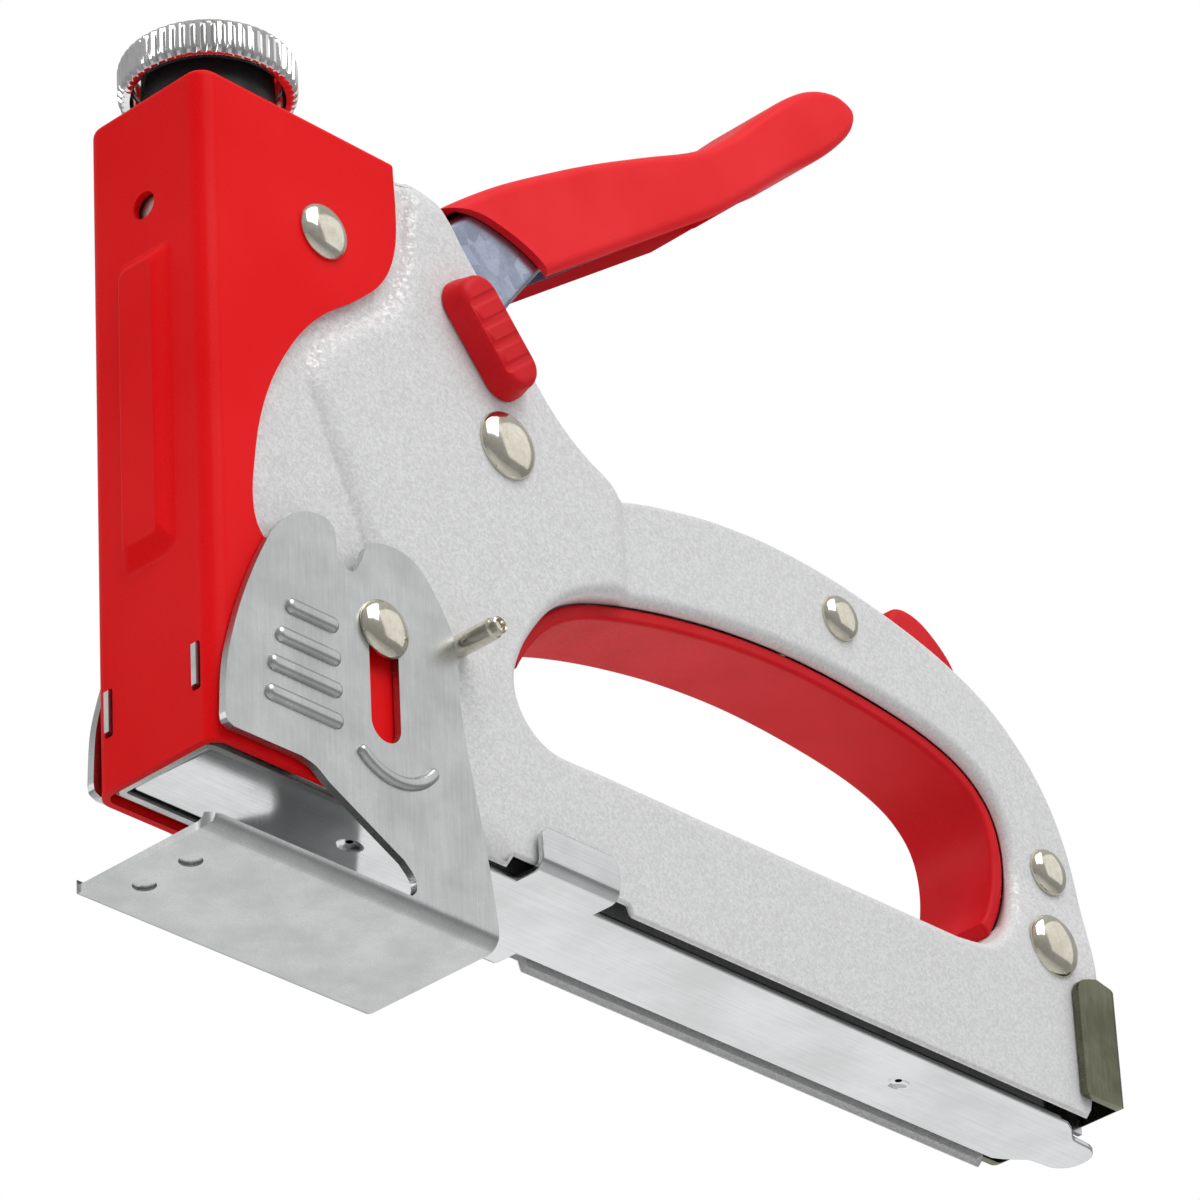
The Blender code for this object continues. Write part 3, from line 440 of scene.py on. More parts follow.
def redPaintLook():
    # sprayed gloss red with orange peel
    f = Finish("redPaint", coatRoughness=0.2, specular=0.05)
    peel, speck, cloud = f.noise(1.1, 2, 0.4), f.noise(0.28, 2, 0.6), f.noise(30, 3, 0.5)
    colour = f.mix(f.span(speck * 0.5 + cloud * 0.5, 0.3, 0.7), (0.84, 0.004, 0.006), (0.94, 0.008, 0.011))
    f.set(colour=colour, roughness=f.span(speck, 0.25, 0.75, 0.34, 0.48), coat=f.span(cloud, 0.3, 0.7, 0.0, 0.06))
    f.set(normal=f.bump(peel * 0.8 + speck * 0.2, 0.02, 0.5))
    return f.material


def metalLook(name, dark, light, rough, grain, streak, depth=0.006, spangle=0.0):
    # plated or bare sheet: cloudy plating, fine rolling streaks and a few handling marks
    f = Finish(name, specular=0.5)
    lines = f.noise(1, 4, 0.7, f.stretched(*streak))
    cloud, fine = f.noise(grain, 4, 0.6), f.noise(0.35, 2, 0.6)
    tone = cloud * 0.6 + lines * 0.4
    if spangle:
        crystal = f.node("SeparateColor", {}, {"Color": f.cells(2.6, "Color")}, 0)
        tone = tone * (1 - spangle) + crystal * spangle
    f.set(colour=f.mix(f.span(tone, 0.32, 0.68), dark, light), metallic=f.span(fine, 0.1, 0.9, 0.97, 1.0),
          roughness=f.span(tone * 0.7 + fine * 0.3, 0.3, 0.7, rough[1], rough[0]))
    f.set(normal=f.bump(lines * 0.6 + fine * 0.2 + cloud * 0.2, depth, 0.6))
    return f.material


def mouldedLook(name, dark, light, rough, grain, depth, coat=(0.0, 0.05)):
    # moulded plastic or vinyl with a fine skin grain
    f = Finish(name, specular=0.12, coatRoughness=0.3)
    skin, pores, cloud = f.noise(grain, 3, 0.6), f.cells(grain * 0.8), f.noise(18, 3, 0.5)
    tone = cloud * 0.65 + skin * 0.35
    f.set(colour=f.mix(f.span(tone, 0.3, 0.7), dark, light), roughness=f.span(skin, 0.3, 0.7, rough[0], rough[1]),
          coat=f.span(cloud, 0.3, 0.7, coat[0], coat[1]))
    f.set(normal=f.bump(skin * 0.6 + pores * 0.4, depth, 0.6))
    return f.material


# the slot each finish goes by, then its colours, roughness, grain and streak or depth
metals = {
    "footZinc": ("zinc", (0.43, 0.445, 0.44), (0.55, 0.56, 0.56), (0.24, 0.38), 9, (3, 3, 0.12)),
    # the rear clip's zinc is kept far darker and olive: a painted dark reflection on its bent-out ears, not a plating
    # colour
    "clipZinc": ("zinc", (0.1, 0.104, 0.062), (0.17, 0.173, 0.12), (0.22, 0.36), 8, (3, 3, 0.2)),
    "armZinc": ("zinc", (0.25, 0.285, 0.37), (0.4, 0.45, 0.56), (0.22, 0.4), 5, (2, 2, 2), 0.006, 0.2),
    "innerZinc": ("zinc", (0.36, 0.37, 0.36), (0.5, 0.51, 0.5), (0.25, 0.42), 8, (3, 3, 0.2)),
    "floorChrome": ("chrome", (0.55, 0.56, 0.56), (0.68, 0.69, 0.7), (0.07, 0.17), 14, (0.06, 2.5, 2.5), 0.003),
    "knobChrome": ("chrome", (0.62, 0.62, 0.61), (0.76, 0.76, 0.76), (0.05, 0.14), 6, (2, 2, 0.3), 0.003),
    "rivetNickel": ("nickel", (0.6, 0.56, 0.45), (0.76, 0.73, 0.63), (0.06, 0.17), 3, (1.5, 1.5, 1.5)),
    "brightSteel": ("bright_steel", (0.42, 0.43, 0.44), (0.6, 0.61, 0.62), (0.16, 0.32), 6, (3, 3, 0.2)),
    "springSteel": ("spring_steel", (0.16, 0.17, 0.18), (0.3, 0.31, 0.32), (0.22, 0.4), 3, (2, 2, 2))}
moulded = {
    "redPlastic": ("red_plastic", (0.62, 0.006, 0.011), (0.76, 0.012, 0.019), (0.42, 0.58), 0.5, 0.02),
    "redVinyl": ("red_vinyl", (0.88, 0.008, 0.014), (0.96, 0.016, 0.024), (0.34, 0.5), 0.45, 0.018, (0.02, 0.08)),
    "blackPlastic": ("black_plastic", (0.012, 0.012, 0.013), (0.03, 0.03, 0.032), (0.3, 0.45), 0.5, 0.015),
    "blackRubber": ("rubber", (0.018, 0.018, 0.018), (0.04, 0.04, 0.04), (0.6, 0.85), 0.6, 0.03)}
looks = {"silverPaint": silverPaintLook(), "redPaint": redPaintLook()}
slotOf = {"silverPaint": "silver_paint", "redPaint": "red_paint"}
for rows, makeLook in ((metals, metalLook), (moulded, mouldedLook)):
    for name, (slot, *values) in rows.items():
        looks[name], slotOf[name] = makeLook(name, *values), slot
print("finishes made:", len(looks))


# body shells

body = {"border": 10.15, "panel": 11.35, "bar": 11.0, "grip": 9.1, "seam": 0.15, "liningEdge": 7.2, "wall": 1.3,
        "creaseWide": 3.6, "creaseTop": 2.2, "stepFoot": 83.0, "stepWide": 4.6, "holeRound": 1.7, "topRound": 1.0,
        "lowRound": 0.6}
bodyOutline = [
    (2.4, 0.9, 0), (2.4, 104, 0), (36, 104), (41.6, 104.6), (45.6, 103.4), (48.4, 100.8), (50.9, 97.4, 0),
    (66.5, 78.6, 0), (70.4, 75), (74.6, 72.3), (78.2, 70.6), (80.4, 68.9, 0), (86, 70.8), (92, 72.3), (102, 74.2),
    (114, 75.2), (126, 74.8), (138, 73.2), (150, 70.5), (160, 66.6), (167.4, 61.2), (173, 54.6), (176.8, 46.6),
    (178.9, 37.5), (179.4, 29), (178.6, 21, 0), (174.4, 2.4, 0), (173.4, 0.9, 0), (78.6, 0.9, 0), (78, 2.4, 0),
    (56, 2.4, 0), (55.4, 0.9, 0)]
holeOutline = [
    (66, 21.8), (74, 21.9, 0), (148, 22.2, 0), (154.6, 23.4), (159.4, 27.6), (162.2, 33.4), (163.2, 40), (162.3, 46),
    (159.4, 50.6), (154, 54.2), (145, 56.7), (132, 58.2), (119, 58.6), (106, 57.7), (94, 55.8), (84, 53.5),
    (76, 51), (70.4, 48.2), (66, 44.7), (62.4, 40.4), (59.6, 35.8), (58, 31), (58.7, 26.8), (61.6, 23.4)]
creaseLine = smoothPath([(40, 103.2), (39.3, 93.2), (37.1, 84.6), (33.6, 79.8), (28, 75.4), (22.9, 70.8), (20.5, 67),
                         (20, 63.3), (21.6, 59), (23.6, 54.3), (26.6, 48.2), (29.6, 41), (33, 31), (36.4, 18),
                         (38, 2.6)], 6, False)
panelSide = creaseLine + [(200, 0), (200, 120), (41, 120)]


def bandWidth(z):
    return body["creaseTop"] + (body["creaseWide"] - body["creaseTop"]) * blendStep(94, 78, z)


def bodyLevel(x, z):
    # how far the painted face stands out before its edges are rounded
    inward = distanceTo((x, z), creaseLine, False) if x < 60 else 99
    if x < 60 and not isInside((x, z), panelSide):
        return body["border"]
    t = min(1, inward / bandWidth(z)) * blendStep(104.5, 100.5, z)
    face = body["panel"] + (body["bar"] - body["panel"]) * blendStep(42, 20, z)
    face = body["border"] + (face - body["border"]) * (1 - (1 - t) ** 1.9)
    if z > 40 and x < 150:
        t = min(1, max(0, (body["stepFoot"] - x) / body["stepWide"]))
        face = body["grip"] + (face - body["grip"]) * (1 - (1 - t) ** 2.2)
    elif x > 120:
        face = body["grip"] + (body["bar"] - body["grip"]) * blendStep(39, 23, z)
    return face


def edgeRound(x, z, isHole):
    if isHole:
        return body["holeRound"]
    if z < 4:
        return body["lowRound"]
    return body["topRound"] + 0.5 * blendStep(120, 165, x)


def bodyShell(side):
    loops = [resample(smoothPath(bodyOutline, 7), 1.6), resample(smoothPath(holeOutline, 7), 1.6)]
    radii = [[edgeRound(x, z, k == 1) for x, z in loop] for k, loop in enumerate(loops)]

    def ringAt(k, depth):
        near = offsetPath(loops[k], -1 if k == 0 else 1)
        return [(x + (u - x) * r * depth, z + (v - z) * r * depth)
                for (x, z), (u, v), r in zip(loops[k], near, radii[k])]

    caps = [ringAt(k, 1) for k in (0, 1)]
    lines = []
    for share in (-0.14, 0, 0.1, 0.28, 0.5, 0.75, 1.0, 1.25):
        line = []
        for i, (x, z) in enumerate(creaseLine[:-1]):
            ahead = (Vector(creaseLine[i + 1]) - Vector((x, z))).normalized()
            p = Vector((x, z)) + Vector((-ahead.y, ahead.x)) * share * bandWidth(z)
            if isInside(p, caps[0]) and distanceTo(p, caps[0]) > 0.7:
                line.append(tuple(p))
        lines.append(line)
    for share in (0, 0.12, 0.3, 0.5, 0.75, 1.0, 1.2):
        x = body["stepFoot"] - share * body["stepWide"]
        lines.append([(x, z / 2) for z in range(96, 146) if isInside((x, z / 2), caps[0])
                      and not isInside((x, z / 2), caps[1]) and distanceTo((x, z / 2), caps[0]) > 0.5
                      and distanceTo((x, z / 2), caps[1]) > 0.5])
    used = [p for line in lines for p in line]
    grid = [p for p in gridPoints(caps, 2.6, 0.9) if min((p[0] - u) ** 2 + (p[1] - v) ** 2 for u, v in used) > 1.2]
    flat, triangles, ringIndex = capTriangles(caps, grid, lines)
    verts = [(x, side * bodyLevel(x, z), z) for x, z in flat]
    faces = list(triangles)
    for k, loop in enumerate(loops):
        count, previous, steps = len(loop), ringIndex[k], 5
        for step in range(1, steps + 1):
            turn = pi / 2 * step / steps
            ring = ringAt(k, 1 - sin(turn))
            current = list(range(len(verts), len(verts) + count))
            for (x, z), (u, v), r in zip(ring, caps[k], radii[k]):
                verts.append((x, side * (bodyLevel(u, v) - r * (1 - cos(turn))), z))
            faces += strip(previous, current)
            previous = current
        # a flange runs in to the middle plane where the shell is closed
        walled = [isWalled(x, z, k == 1) for x, z in loop]
        foot = list(range(len(verts), len(verts) + count))
        verts += [(x, side * (body["seam"] if wall else body["liningEdge"]), z) for (x, z), wall in zip(loop, walled)]
        faces += [face for i, face in enumerate(strip(previous, foot))
                  if k == 1 or (walled[i] and walled[(i + 1) % count])]
    mesh = bpy.data.meshes.new("skin")
    mesh.from_pydata(verts, [], faces)
    bm = bmesh.new()
    bm.from_mesh(mesh)
    bmesh.ops.delete(bm, geom=[v for v in bm.verts if not v.link_faces], context="VERTS")
    bmesh.ops.recalc_face_normals(bm, faces=bm.faces)
    widest = max(bm.faces, key=lambda face: abs(face.normal.y) * face.calc_area())
    if widest.normal.y * side < 0:
        bmesh.ops.reverse_faces(bm, faces=bm.faces)
    bm.to_mesh(mesh)
    bm.free()
    name = "bodyShellLeft" if side < 0 else "bodyShellRight"
    mesh.name = name
    shell = addPiece(name, mesh, "body", "silverPaint", [name.replace("bodyShell", "body_shell_").lower()], 50, False)
    thick = shell.modifiers.new("sheetThickness", "SOLIDIFY")
    thick.thickness = body["wall"] / 1000
    thick.offset = -1
    thick.use_even_offset = False
    weighNormals(shell)


def isWalled(x, z, isHole):
    if isHole:
        return z < 28
    slot = 47.5 < x < 79 and z > 70
    return not (slot or z < 21.5 or x < 3)


bodyShell(-1)
bodyShell(1)
print("body shells made")


# nose cover

cover = {"half": 11.75, "wall": 1.1, "top": 105.4, "bend": 3.0, "topBend": 1.3, "ribHalf": 5.4, "ribTopHalf": 3.0,
         "ribLow": 30.5, "ribHigh": 80.0, "ribProud": 1.9, "holeZ": 87.6, "holeR": 2.1, "slotY": 8.4}
coverOutline = [
    (-4, 0, 0), (-4, 110, 0), (36.7, 110, 0), (36.7, 103.6, 0), (36.9, 94), (35.8, 88), (33.2, 83.2), (28.8, 79),
    (23.6, 75), (18.8, 70.2), (14.8, 64.4), (11.6, 58), (9.5, 51.4), (8.4, 45), (7.9, 39.4), (8.6, 35.2), (11, 32.6),
    (15, 31.8, 0), (36, 31.8, 0), (38.4, 30.6), (39.2, 28, 0), (39.2, 0, 0)]


def carve(name, shape, steps, bevel=0.0, segments=2, limit=55):
    # joins, cuts or trims a shape by others, rounds its sharp edges and returns the mesh, still in millimetres
    thing = linked(name, meshOf(name, shape, 0.0005))
    tools = []
    for operation, other in steps:
        tool = linked(name + "Tool", meshOf(name + "Tool", other, 0.0005))
        tools.append(tool)
        step = thing.modifiers.new(operation, "BOOLEAN")
        step.operation, step.solver, step.object = operation, "EXACT", tool
    if bevel:
        weld = thing.modifiers.new("weld", "WELD")
        weld.merge_threshold = 0.01
        soft = thing.modifiers.new("soft", "BEVEL")
        soft.width, soft.segments, soft.angle_limit = bevel, segments, radians(limit)
        soft.miter_outer = "MITER_ARC"
        soft.use_clamp_overlap = True
    bpy.context.view_layer.update()
    mesh = bpy.data.meshes.new_from_object(thing.evaluated_get(bpy.context.evaluated_depsgraph_get()))
    for old in (thing, *tools):
        bpy.data.objects.remove(old)
    mesh.name = name
    return mesh


def loft(rings, closeStart=True, closeEnd=True):
    # rings are lists of 3-D points with the same count
    verts, faces, count = [p for ring in rings for p in ring], [], len(rings[0])
    for k in range(len(rings) - 1):
        faces += strip(range(k * count, (k + 1) * count), range((k + 1) * count, (k + 2) * count))
    if closeStart:
        faces.append(tuple(range(count)))
    if closeEnd:
        faces.append(tuple(range(len(verts) - count, len(verts))))
    return verts, faces


def prism(loops, low, high, place=onSide(1)):
    # a plain solid of an outline, for cutting with
    return plate(loops, low, high, 0.001, 1, place=place)


def cut(path, low=-30, high=30, place=onSide(1)):
    return "DIFFERENCE", prism([path], low, high, place)


def coverPlan(inset, bend, z):
    half = cover["half"] - inset
    corners = [(inset, -half, bend), (60, -half, 0), (60, half, 0), (inset, half, bend)]
    return [(x, y, z) for x, y in roundedPath(corners, 8)]


def noseCover():
    c, rings = cover, []
    rings.append(coverPlan(0, c["bend"], -2))
    for step in range(7):
        turn = pi / 2 * step / 6
        inset = c["topBend"] * (1 - cos(turn))
        rings.append(coverPlan(inset, c["bend"] - inset, c["top"] - c["topBend"] * (1 - sin(turn))))
    inside = [coverPlan(c["wall"], c["bend"] - c["wall"], z) for z in (-5, c["top"] - c["wall"])]
    inside = [[(x if x < 59 else 63, y, z) for x, y, z in ring] for ring in inside]
    ribRings = []
    for share in (-0.5, 0, 0.1, 0.3, 0.55, 0.8, 0.93, 1.0):
        grow = max(0, share)
        ease = 0.5 - 0.5 * cos(pi * grow)
        half = c["ribHalf"] + (c["ribTopHalf"] - c["ribHalf"]) * grow
        low, high = c["ribLow"] + 3.6 * grow, c["ribHigh"] - 3.2 * grow
        path = barPath(-half, low, half, high, 1.6, 5)
        ribRings.append([(-c["ribProud"] * (ease if share > 0 else share), y, z) for y, z in path])
    slots = [barPath(y - 0.75, 8, y + 0.75, 15.2, 0.4) for y in (-c["slotY"], c["slotY"])]
    steps = [("INTERSECT", prism([smoothPath(coverOutline, 8)], -30, 30)), ("DIFFERENCE", loft(inside)),
             ("UNION", loft(ribRings)),
             cut(circlePath(0, c["holeZ"], c["holeR"], 28), -5, 5, alongX),
             cut(circlePath(12.6, 0, 10, 40), 95, 110, flatTop)]
    steps += [cut(slot, -5, 3, alongX) for slot in slots]
    steps += [cut(circlePath(x, z, 2.6, 24)) for x, z in ((22.5, 87.3), (29.9, 26.3))]
    mesh = carve("noseCover", loft(rings), steps, 0.28, 2)
    addPiece("noseCover", mesh, "body", "redPaint", ["nose_cover"])


noseCover()
print("nose cover made")


# grip insert

insert = {"half": 7.4, "thick": 2.4, "edge": 0.7, "padEdge": 1.2}


def gripInsert():
    hole = smoothPath(holeOutline, 7)
    outer, inner = offsetPath(hole, -0.1), offsetPath(hole, -insert["thick"])
    start = min(range(len(hole)), key=lambda i: (Vector(hole[i]) - Vector((59.6, 36.5))).length)
    order = []
    for k in range(len(hole)):
        i = (start - k) % len(hole)
        order.append(i)
        if k > 5 and hole[i][1] < 27.5:
            break
    band = [outer[i] for i in order] + [inner[i] for i in reversed(order)]
    pad = smoothPath([(141.4, 58.6, 0), (157.6, 54.2, 0), (158, 67, 0), (155.4, 72), (150.4, 76), (146, 77.2),
                      (143, 76), (141, 72, 0)], 8)
    lining = plate([band], -insert["half"], insert["half"], insert["edge"], 4, place=onSide(1))
    block = plate([pad], -insert["half"] + 0.2, insert["half"] - 0.2, insert["padEdge"], 5, place=onSide(1))
    makePiece("gripInsert", together(lining, block), "body", "redPlastic", ["grip_insert"], 45)


gripInsert()


# rivets and the lock's stop stud

rivets = {"cover_rivet": (22.5, 87.3, 4.3, 1.75, 11.75), "lever_rivet": (57.5, 67.3, 5.2, 2.0, 11.35),
          "foot_rivet": (29.9, 26.3, 4.3, 1.9, 13.3), "grip_rivet": (128.3, 67.8, 3.6, 1.7, 9.1),
          "rear_upper_rivet": (171, 40.9, 3.7, 1.7, 9.15), "rear_lower_rivet": (168.8, 27.2, 4.9, 2.0, 10.8)}


def rivetHead(radius, rise, base):
    # a pressed dome with a small flat lip at its foot
    crown = [(0, base + rise)]
    for step in range(1, 9):
        turn = pi / 2 * step / 9
        crown.append((radius * sin(turn) ** 0.92, base + 0.22 + (rise - 0.22) * cos(turn)))
    return crown + [(radius, base + 0.3), (radius + 0.06, base + 0.12), (radius + 0.02, base)]


def makeRivets():
    for name, (x, z, radius, rise, base) in rivets.items():
        head = rivetHead(radius, rise, base)
        words = name.split("_")
        piece = words[0] + "".join(word.title() for word in words[1:])
        if name == "cover_rivet":
            for side, axis in (("Left", "-Y"), ("Right", "Y")):
                profile = head + [(2.4, base), (2.4, 8.3), (0, 8.3)]
                makePiece(piece + side, spin(profile, (x, 0, z), axis, 40), "body", "rivetNickel",
                          [name + "_" + side.lower()], 50)
        else:
            shank = [(radius * 0.5, base)]
            profile = head + shank + [(r, -h) for r, h in reversed(head + shank)]
            makePiece(piece, spin(profile, (x, 0, z), "Y", 40), "body", "rivetNickel", [name], 50)
    stud = [(0, 18.9), (0.75, 18.95), (0.9, 19.35), (1.05, 19.4), (1.25, 19.25), (1.3, 18.3), (1.5, 18.1),
            (1.6, 17.8), (1.6, 11), (0, 11)]
    makePiece("stopStud", spin(stud, (46.3, 0, 30.8), "-Y", 24), "body", "rivetNickel", ["stop_stud"], 40)


makeRivets()
print("insert and rivets made")


# foot

foot = {"half": 13.25, "wall": 1.2, "soleHigh": -13.8, "soleLow": -15.0, "front": -3.0, "back": 49.7, "bend": 2.4,
        "slotX": 29.9, "slotHalf": 2.75, "slotLow": 9.1, "slotHigh": 29.05, "ribProud": 0.8, "ribTall": 2.4}
earOutline = [
    (-3, -16, 0), (-3, -12.6, 0), (33.6, -12.6, 0), (34.5, -11.4), (34.2, -9.6), (32.4, -7.8, 0), (19, -0.9, 0),
    (16.6, 0.7), (14, 1.3, 0), (2, 1.2, 0), (0.8, 1.8), (0.5, 3, 0), (1, 10.4), (2.4, 16.4), (4.4, 22.4),
    (7.2, 28.9), (10.2, 34.4), (13.2, 37.6), (16.4, 39.4), (19.4, 39.8), (21.1, 39), (21.7, 37), (22, 34.6),
    (24.4, 33.2), (26.2, 35.4), (27.4, 38.2), (29.8, 39.7), (33.2, 40.1), (36.4, 39.4), (38.9, 37.2), (41.4, 33.8),
    (43.3, 30.4), (44, 26), (44.1, 21), (44.8, 15.4), (46.3, 7.4), (47.8, 0.4), (48.8, -5.6), (49.7, -12, 0),
    (49.7, -16, 0)]
earRibs = [(11.9, 21.4, 23.4), (9.9, 21.6, 18.4), (8.4, 21.7, 13.6), (7.7, 21.7, 8.9)]


def pillow(path, low, high, slope, place, steps=5):
    # a raised shape whose sides curve up to its top
    rings = [[place(x, y, low - 0.4) for x, y in path]]
    for k in range(steps + 1):
        t = k / steps
        ring = offsetPath(path, -slope * t) if t else path
        rings.append([place(x, y, low + (high - low) * sqrt(1 - (1 - t) ** 2)) for x, y in ring])
    return loft(rings)


def arcBand(x, z, radius, start, end, half, count=16):
    # a bent bar with round ends
    path = []
    for r, a, b in ((radius + half, start, end), (radius - half, end, start)):
        path += arcProfile(x, z, r, a, b, count)
        tip = radians(b)
        middle = Vector(polar(x, z, radius, tip))
        base = tip if a < b else tip + pi
        path += [polar(*middle, half, base + pi * i / 6) for i in range(1, 6)]
    return path


def footStirrup():
    f = foot
    wide, deep = f["half"], f["half"] - f["wall"]
    section = roundedPath([(-wide, 60, 0), (-wide, f["soleLow"], f["bend"]), (wide, f["soleLow"], f["bend"]),
                           (wide, 60, 0), (deep, 60, 0), (deep, f["soleHigh"], f["bend"] - f["wall"]),
                           (-deep, f["soleHigh"], f["bend"] - f["wall"]), (-deep, 60, 0)], 8)
    strip = prism([section], -10, 60, alongX)
    slot = barPath(f["slotX"] - f["slotHalf"], f["slotLow"], f["slotX"] + f["slotHalf"], f["slotHigh"], 2.74, 8)
    steps = [("INTERSECT", prism([smoothPath(earOutline, 6)], -30, 30)), cut(slot)]
    nose = roundedPath([(f["front"], -wide, 2.5), (60, -wide, 0), (60, wide, 0), (f["front"], wide, 2.5)], 8)
    steps.append(("INTERSECT", prism([nose], -40, 60, flatTop)))
    for x0, x1, z in earRibs:
        tall = f["ribTall"] / 2
        path = barPath(x0, z - tall, x1, z + tall, tall * 0.9, 4)
        for side in (-1, 1):
            steps.append(("UNION", pillow(path, wide - 0.02, wide + f["ribProud"], 0.95, onSide(side), 6)))
    for side in (-1, 1):
        rings = [[(x, side * (wide - 0.4), z) for x, z in arcBand(31.3, 12.7, 8.9, 228, 322, 0.95)]]
        for step in range(7):
            turn = pi / 2 * step / 6
            band = arcBand(31.3, 12.7, 8.9, 228, 322, 0.15 + 0.8 * cos(turn))
            rings.append([(x, side * (wide - 0.02 + f["ribProud"] * sin(turn)), z) for x, z in band])
        steps.append(("UNION", loft(rings)))
    for y in (4.2, -4.6):
        dimple = [(0, -0.4), (1.1, -0.4), (1.6, 0.01), (1.7, 0.6), (0, 0.6)]
        steps.append(("DIFFERENCE", spin(dimple, (2, y, f["soleLow"] - 0.3), "Z", 24)))
    mesh = carve("footStirrup", strip, steps, 0.3, 3, 50)
    addPiece("footStirrup", mesh, "foot", "footZinc", ["foot_stirrup"])


footStirrup()
print("foot made")


# knob

knob = {"x": 12.6, "radius": 12.6, "low": 110.3, "high": 116.2, "teeth": 54, "groove": 0.55, "topRound": 1.3}


def knobWobble(i, radius, height):
    # narrow grooves between broad ridges, fading out on the rounded rims
    if radius < knob["radius"] - 0.9:
        return 0
    phase = i % 6
    depth = (0, 0, 0, 0.45, 1, 0.45)[phase]
    return -knob["groove"] * depth * blendStep(knob["radius"] - 0.9, knob["radius"] - 0.1, radius)


def adjustingKnob():
    k = knob
    r, top, low = k["radius"], k["high"], k["low"]
    profile = [(0, top - 0.25), (r - 4.6, top - 0.22), (r - 3.2, top - 0.05), (r - 2.6, top)]
    profile += arcProfile(r - k["topRound"], top - k["topRound"], k["topRound"], 90, 0, 7)
    profile += [(r, low + 3), (r, low + 1.2), (r - 0.12, low + 0.7), (r - 0.5, low + 0.2), (r - 1.0, low),
                (r - 1.7, low), (r - 1.9, low + 0.25), (r - 2.0, 113.5), (r - 2.3, 113.7), (0, 113.7)]
    makePiece("adjustingKnob", spin(profile, (k["x"], 0, 0), "Z", k["teeth"] * 6, knobWobble), "knob", "knobChrome",
              ["adjusting_knob"], 32)
    hub = [(3.3, 113.4), (8.9, 113.4), (9.3, 113.1), (9.5, 106.9), (9.45, 106.5), (9.0, 105.9), (8.6, 105.8),
           (3.3, 105.8), (3.3, 113.4)]
    makePiece("knobHub", spin(hub, (k["x"], 0, 0), "Z", 64), "knob", "blackPlastic", ["knob_hub"], 35)


adjustingKnob()
print("knob made")


# magazine floor and the clip at its back

floorPlate = {"low": 1.0, "wall": 1.0, "half": 7.5, "front": 3.2, "tabFront": 59.5, "tabBack": 74.5, "tabOut": 12.7,
              "tabTop": 7.8}


def magazineFloor():
    f = floorPlate
    low, high, w = f["low"], f["low"] + f["wall"], f["half"]
    half = [(f["front"], -w, 0.6), (172.8, -w, 1.2), (174.6, -6.6, 1), (177.6, -4.3, 2.5), (180.2, -4.1, 1.5),
            (184.6, -4.0, 3.7)]
    plan = roundedPath(half + [(x, -y, r) for x, y, r in reversed(half)], 6)
    out, inner, tabs = f["tabOut"], f["tabOut"] - f["wall"], []
    for side in (-1, 1):
        # each tab is a strip bent up outside the shell, with rounded upper corners
        section = [(7.3, low + 0.02, 0), (out, low + 0.02, 2.0), (out, f["tabTop"], 0.45), (inner, f["tabTop"], 0.4),
                   (inner, high - 0.02, 1.0), (7.3, high - 0.02, 0)]
        strip = plate([roundedPath(section, 7)], f["tabFront"], f["tabBack"], 0.25, 3,
                      place=lambda a, b, h: (h, side * a, b))
        steps = []
        for x, turn in ((f["tabFront"], 1), (f["tabBack"], -1)):
            bite = [(x - turn, f["tabTop"] - 2.2), (x - turn, f["tabTop"] + 1), (x + 2.2 * turn, f["tabTop"] + 1)]
            bite += [(x + 2.2 * turn - 2.2 * turn * sin(radians(a)), f["tabTop"] - 2.2
                      + 2.2 * cos(radians(a))) for a in range(0, 91, 15)]
            steps.append(cut(bite, side * 12.9 - 2.5, side * 12.9 + 2.5))
        tabs.append(carve("tab", strip, steps, 0.12, 2, 50))
    steps = []
    for x in (35.5, 144.5):
        bowl = spin([(0, -0.62), (0.9, -0.62), (1.5, -0.35), (2.1, 0.02), (2.3, 0.8), (0, 0.8)], (0, 0, 0), "Z", 32)
        bowl = [(x + a * 1.15, b * 0.72, low - c - 0.02) for a, b, c in bowl[0]], bowl[1]
        steps += [("DIFFERENCE", bowl), cut(circlePath(x, 0, 0.55, 16), -2, 5, flatTop)]
    mesh = carve("magazineFloor", plate([plan], low, high, 0.3, 3), steps)
    bm = bmesh.new()
    for part in (mesh, *tabs):
        bm.from_mesh(part)
    bm.to_mesh(mesh)
    bm.free()
    addPiece("magazineFloor", mesh, "body", "floorChrome", ["magazine_floor"])


def rearClip():
    out, inner, front, back = 12.5, 11.3, 171.7, 181.0
    plan = roundedPath([(front, -out, 0), (back, -out, 2.0), (back, out, 2.0), (front, out, 0), (front, inner, 0),
                        (back - 1.2, inner, 0.8), (back - 1.2, -inner, 0.8), (front, -inner, 0)], 8)
    ear = roundedPath([(front, 3.7, 0.8), (182, 3.7, 3.4), (182, 22.4, 1.6), (176, 23.6, 0.8), (front, 22.2, 2.4)], 8)
    steps = [("INTERSECT", prism([ear], -30, 30)), cut(circlePath(0, 9.2, 1.4, 24), 170, 190, alongX)]
    mesh = carve("rearClip", prism([plan], 3.7, 23.6, flatTop), steps, 0.3, 3, 50)
    # the clip takes the darkened zinc, whose dark olive colour is a painted reflection of dark surroundings
    addPiece("rearClip", mesh, "tray", "clipZinc", ["rear_clip"])


magazineFloor()
rearClip()
print("magazine plates made")


# lock slider

lock = {"centre": (53.6, 82.9), "turn": 129.7, "length": 18.8, "width": 9.2, "base": 11.6, "rise": 3.8, "edge": 1.5,
        "draft": 0.55, "grooves": (-5.1, -1.7, 1.7, 5.1)}


def lockPoint(u, v):
    turn = radians(lock["turn"])
    x, z = lock["centre"]
    return x + u * cos(turn) - v * sin(turn), z + u * sin(turn) + v * cos(turn)


def lockBar(length, width, shift=0):
    path = barPath(-length / 2, -width / 2, length / 2, width / 2, width * 0.42, 8)
    return [(u + shift, v) for u, v in path]


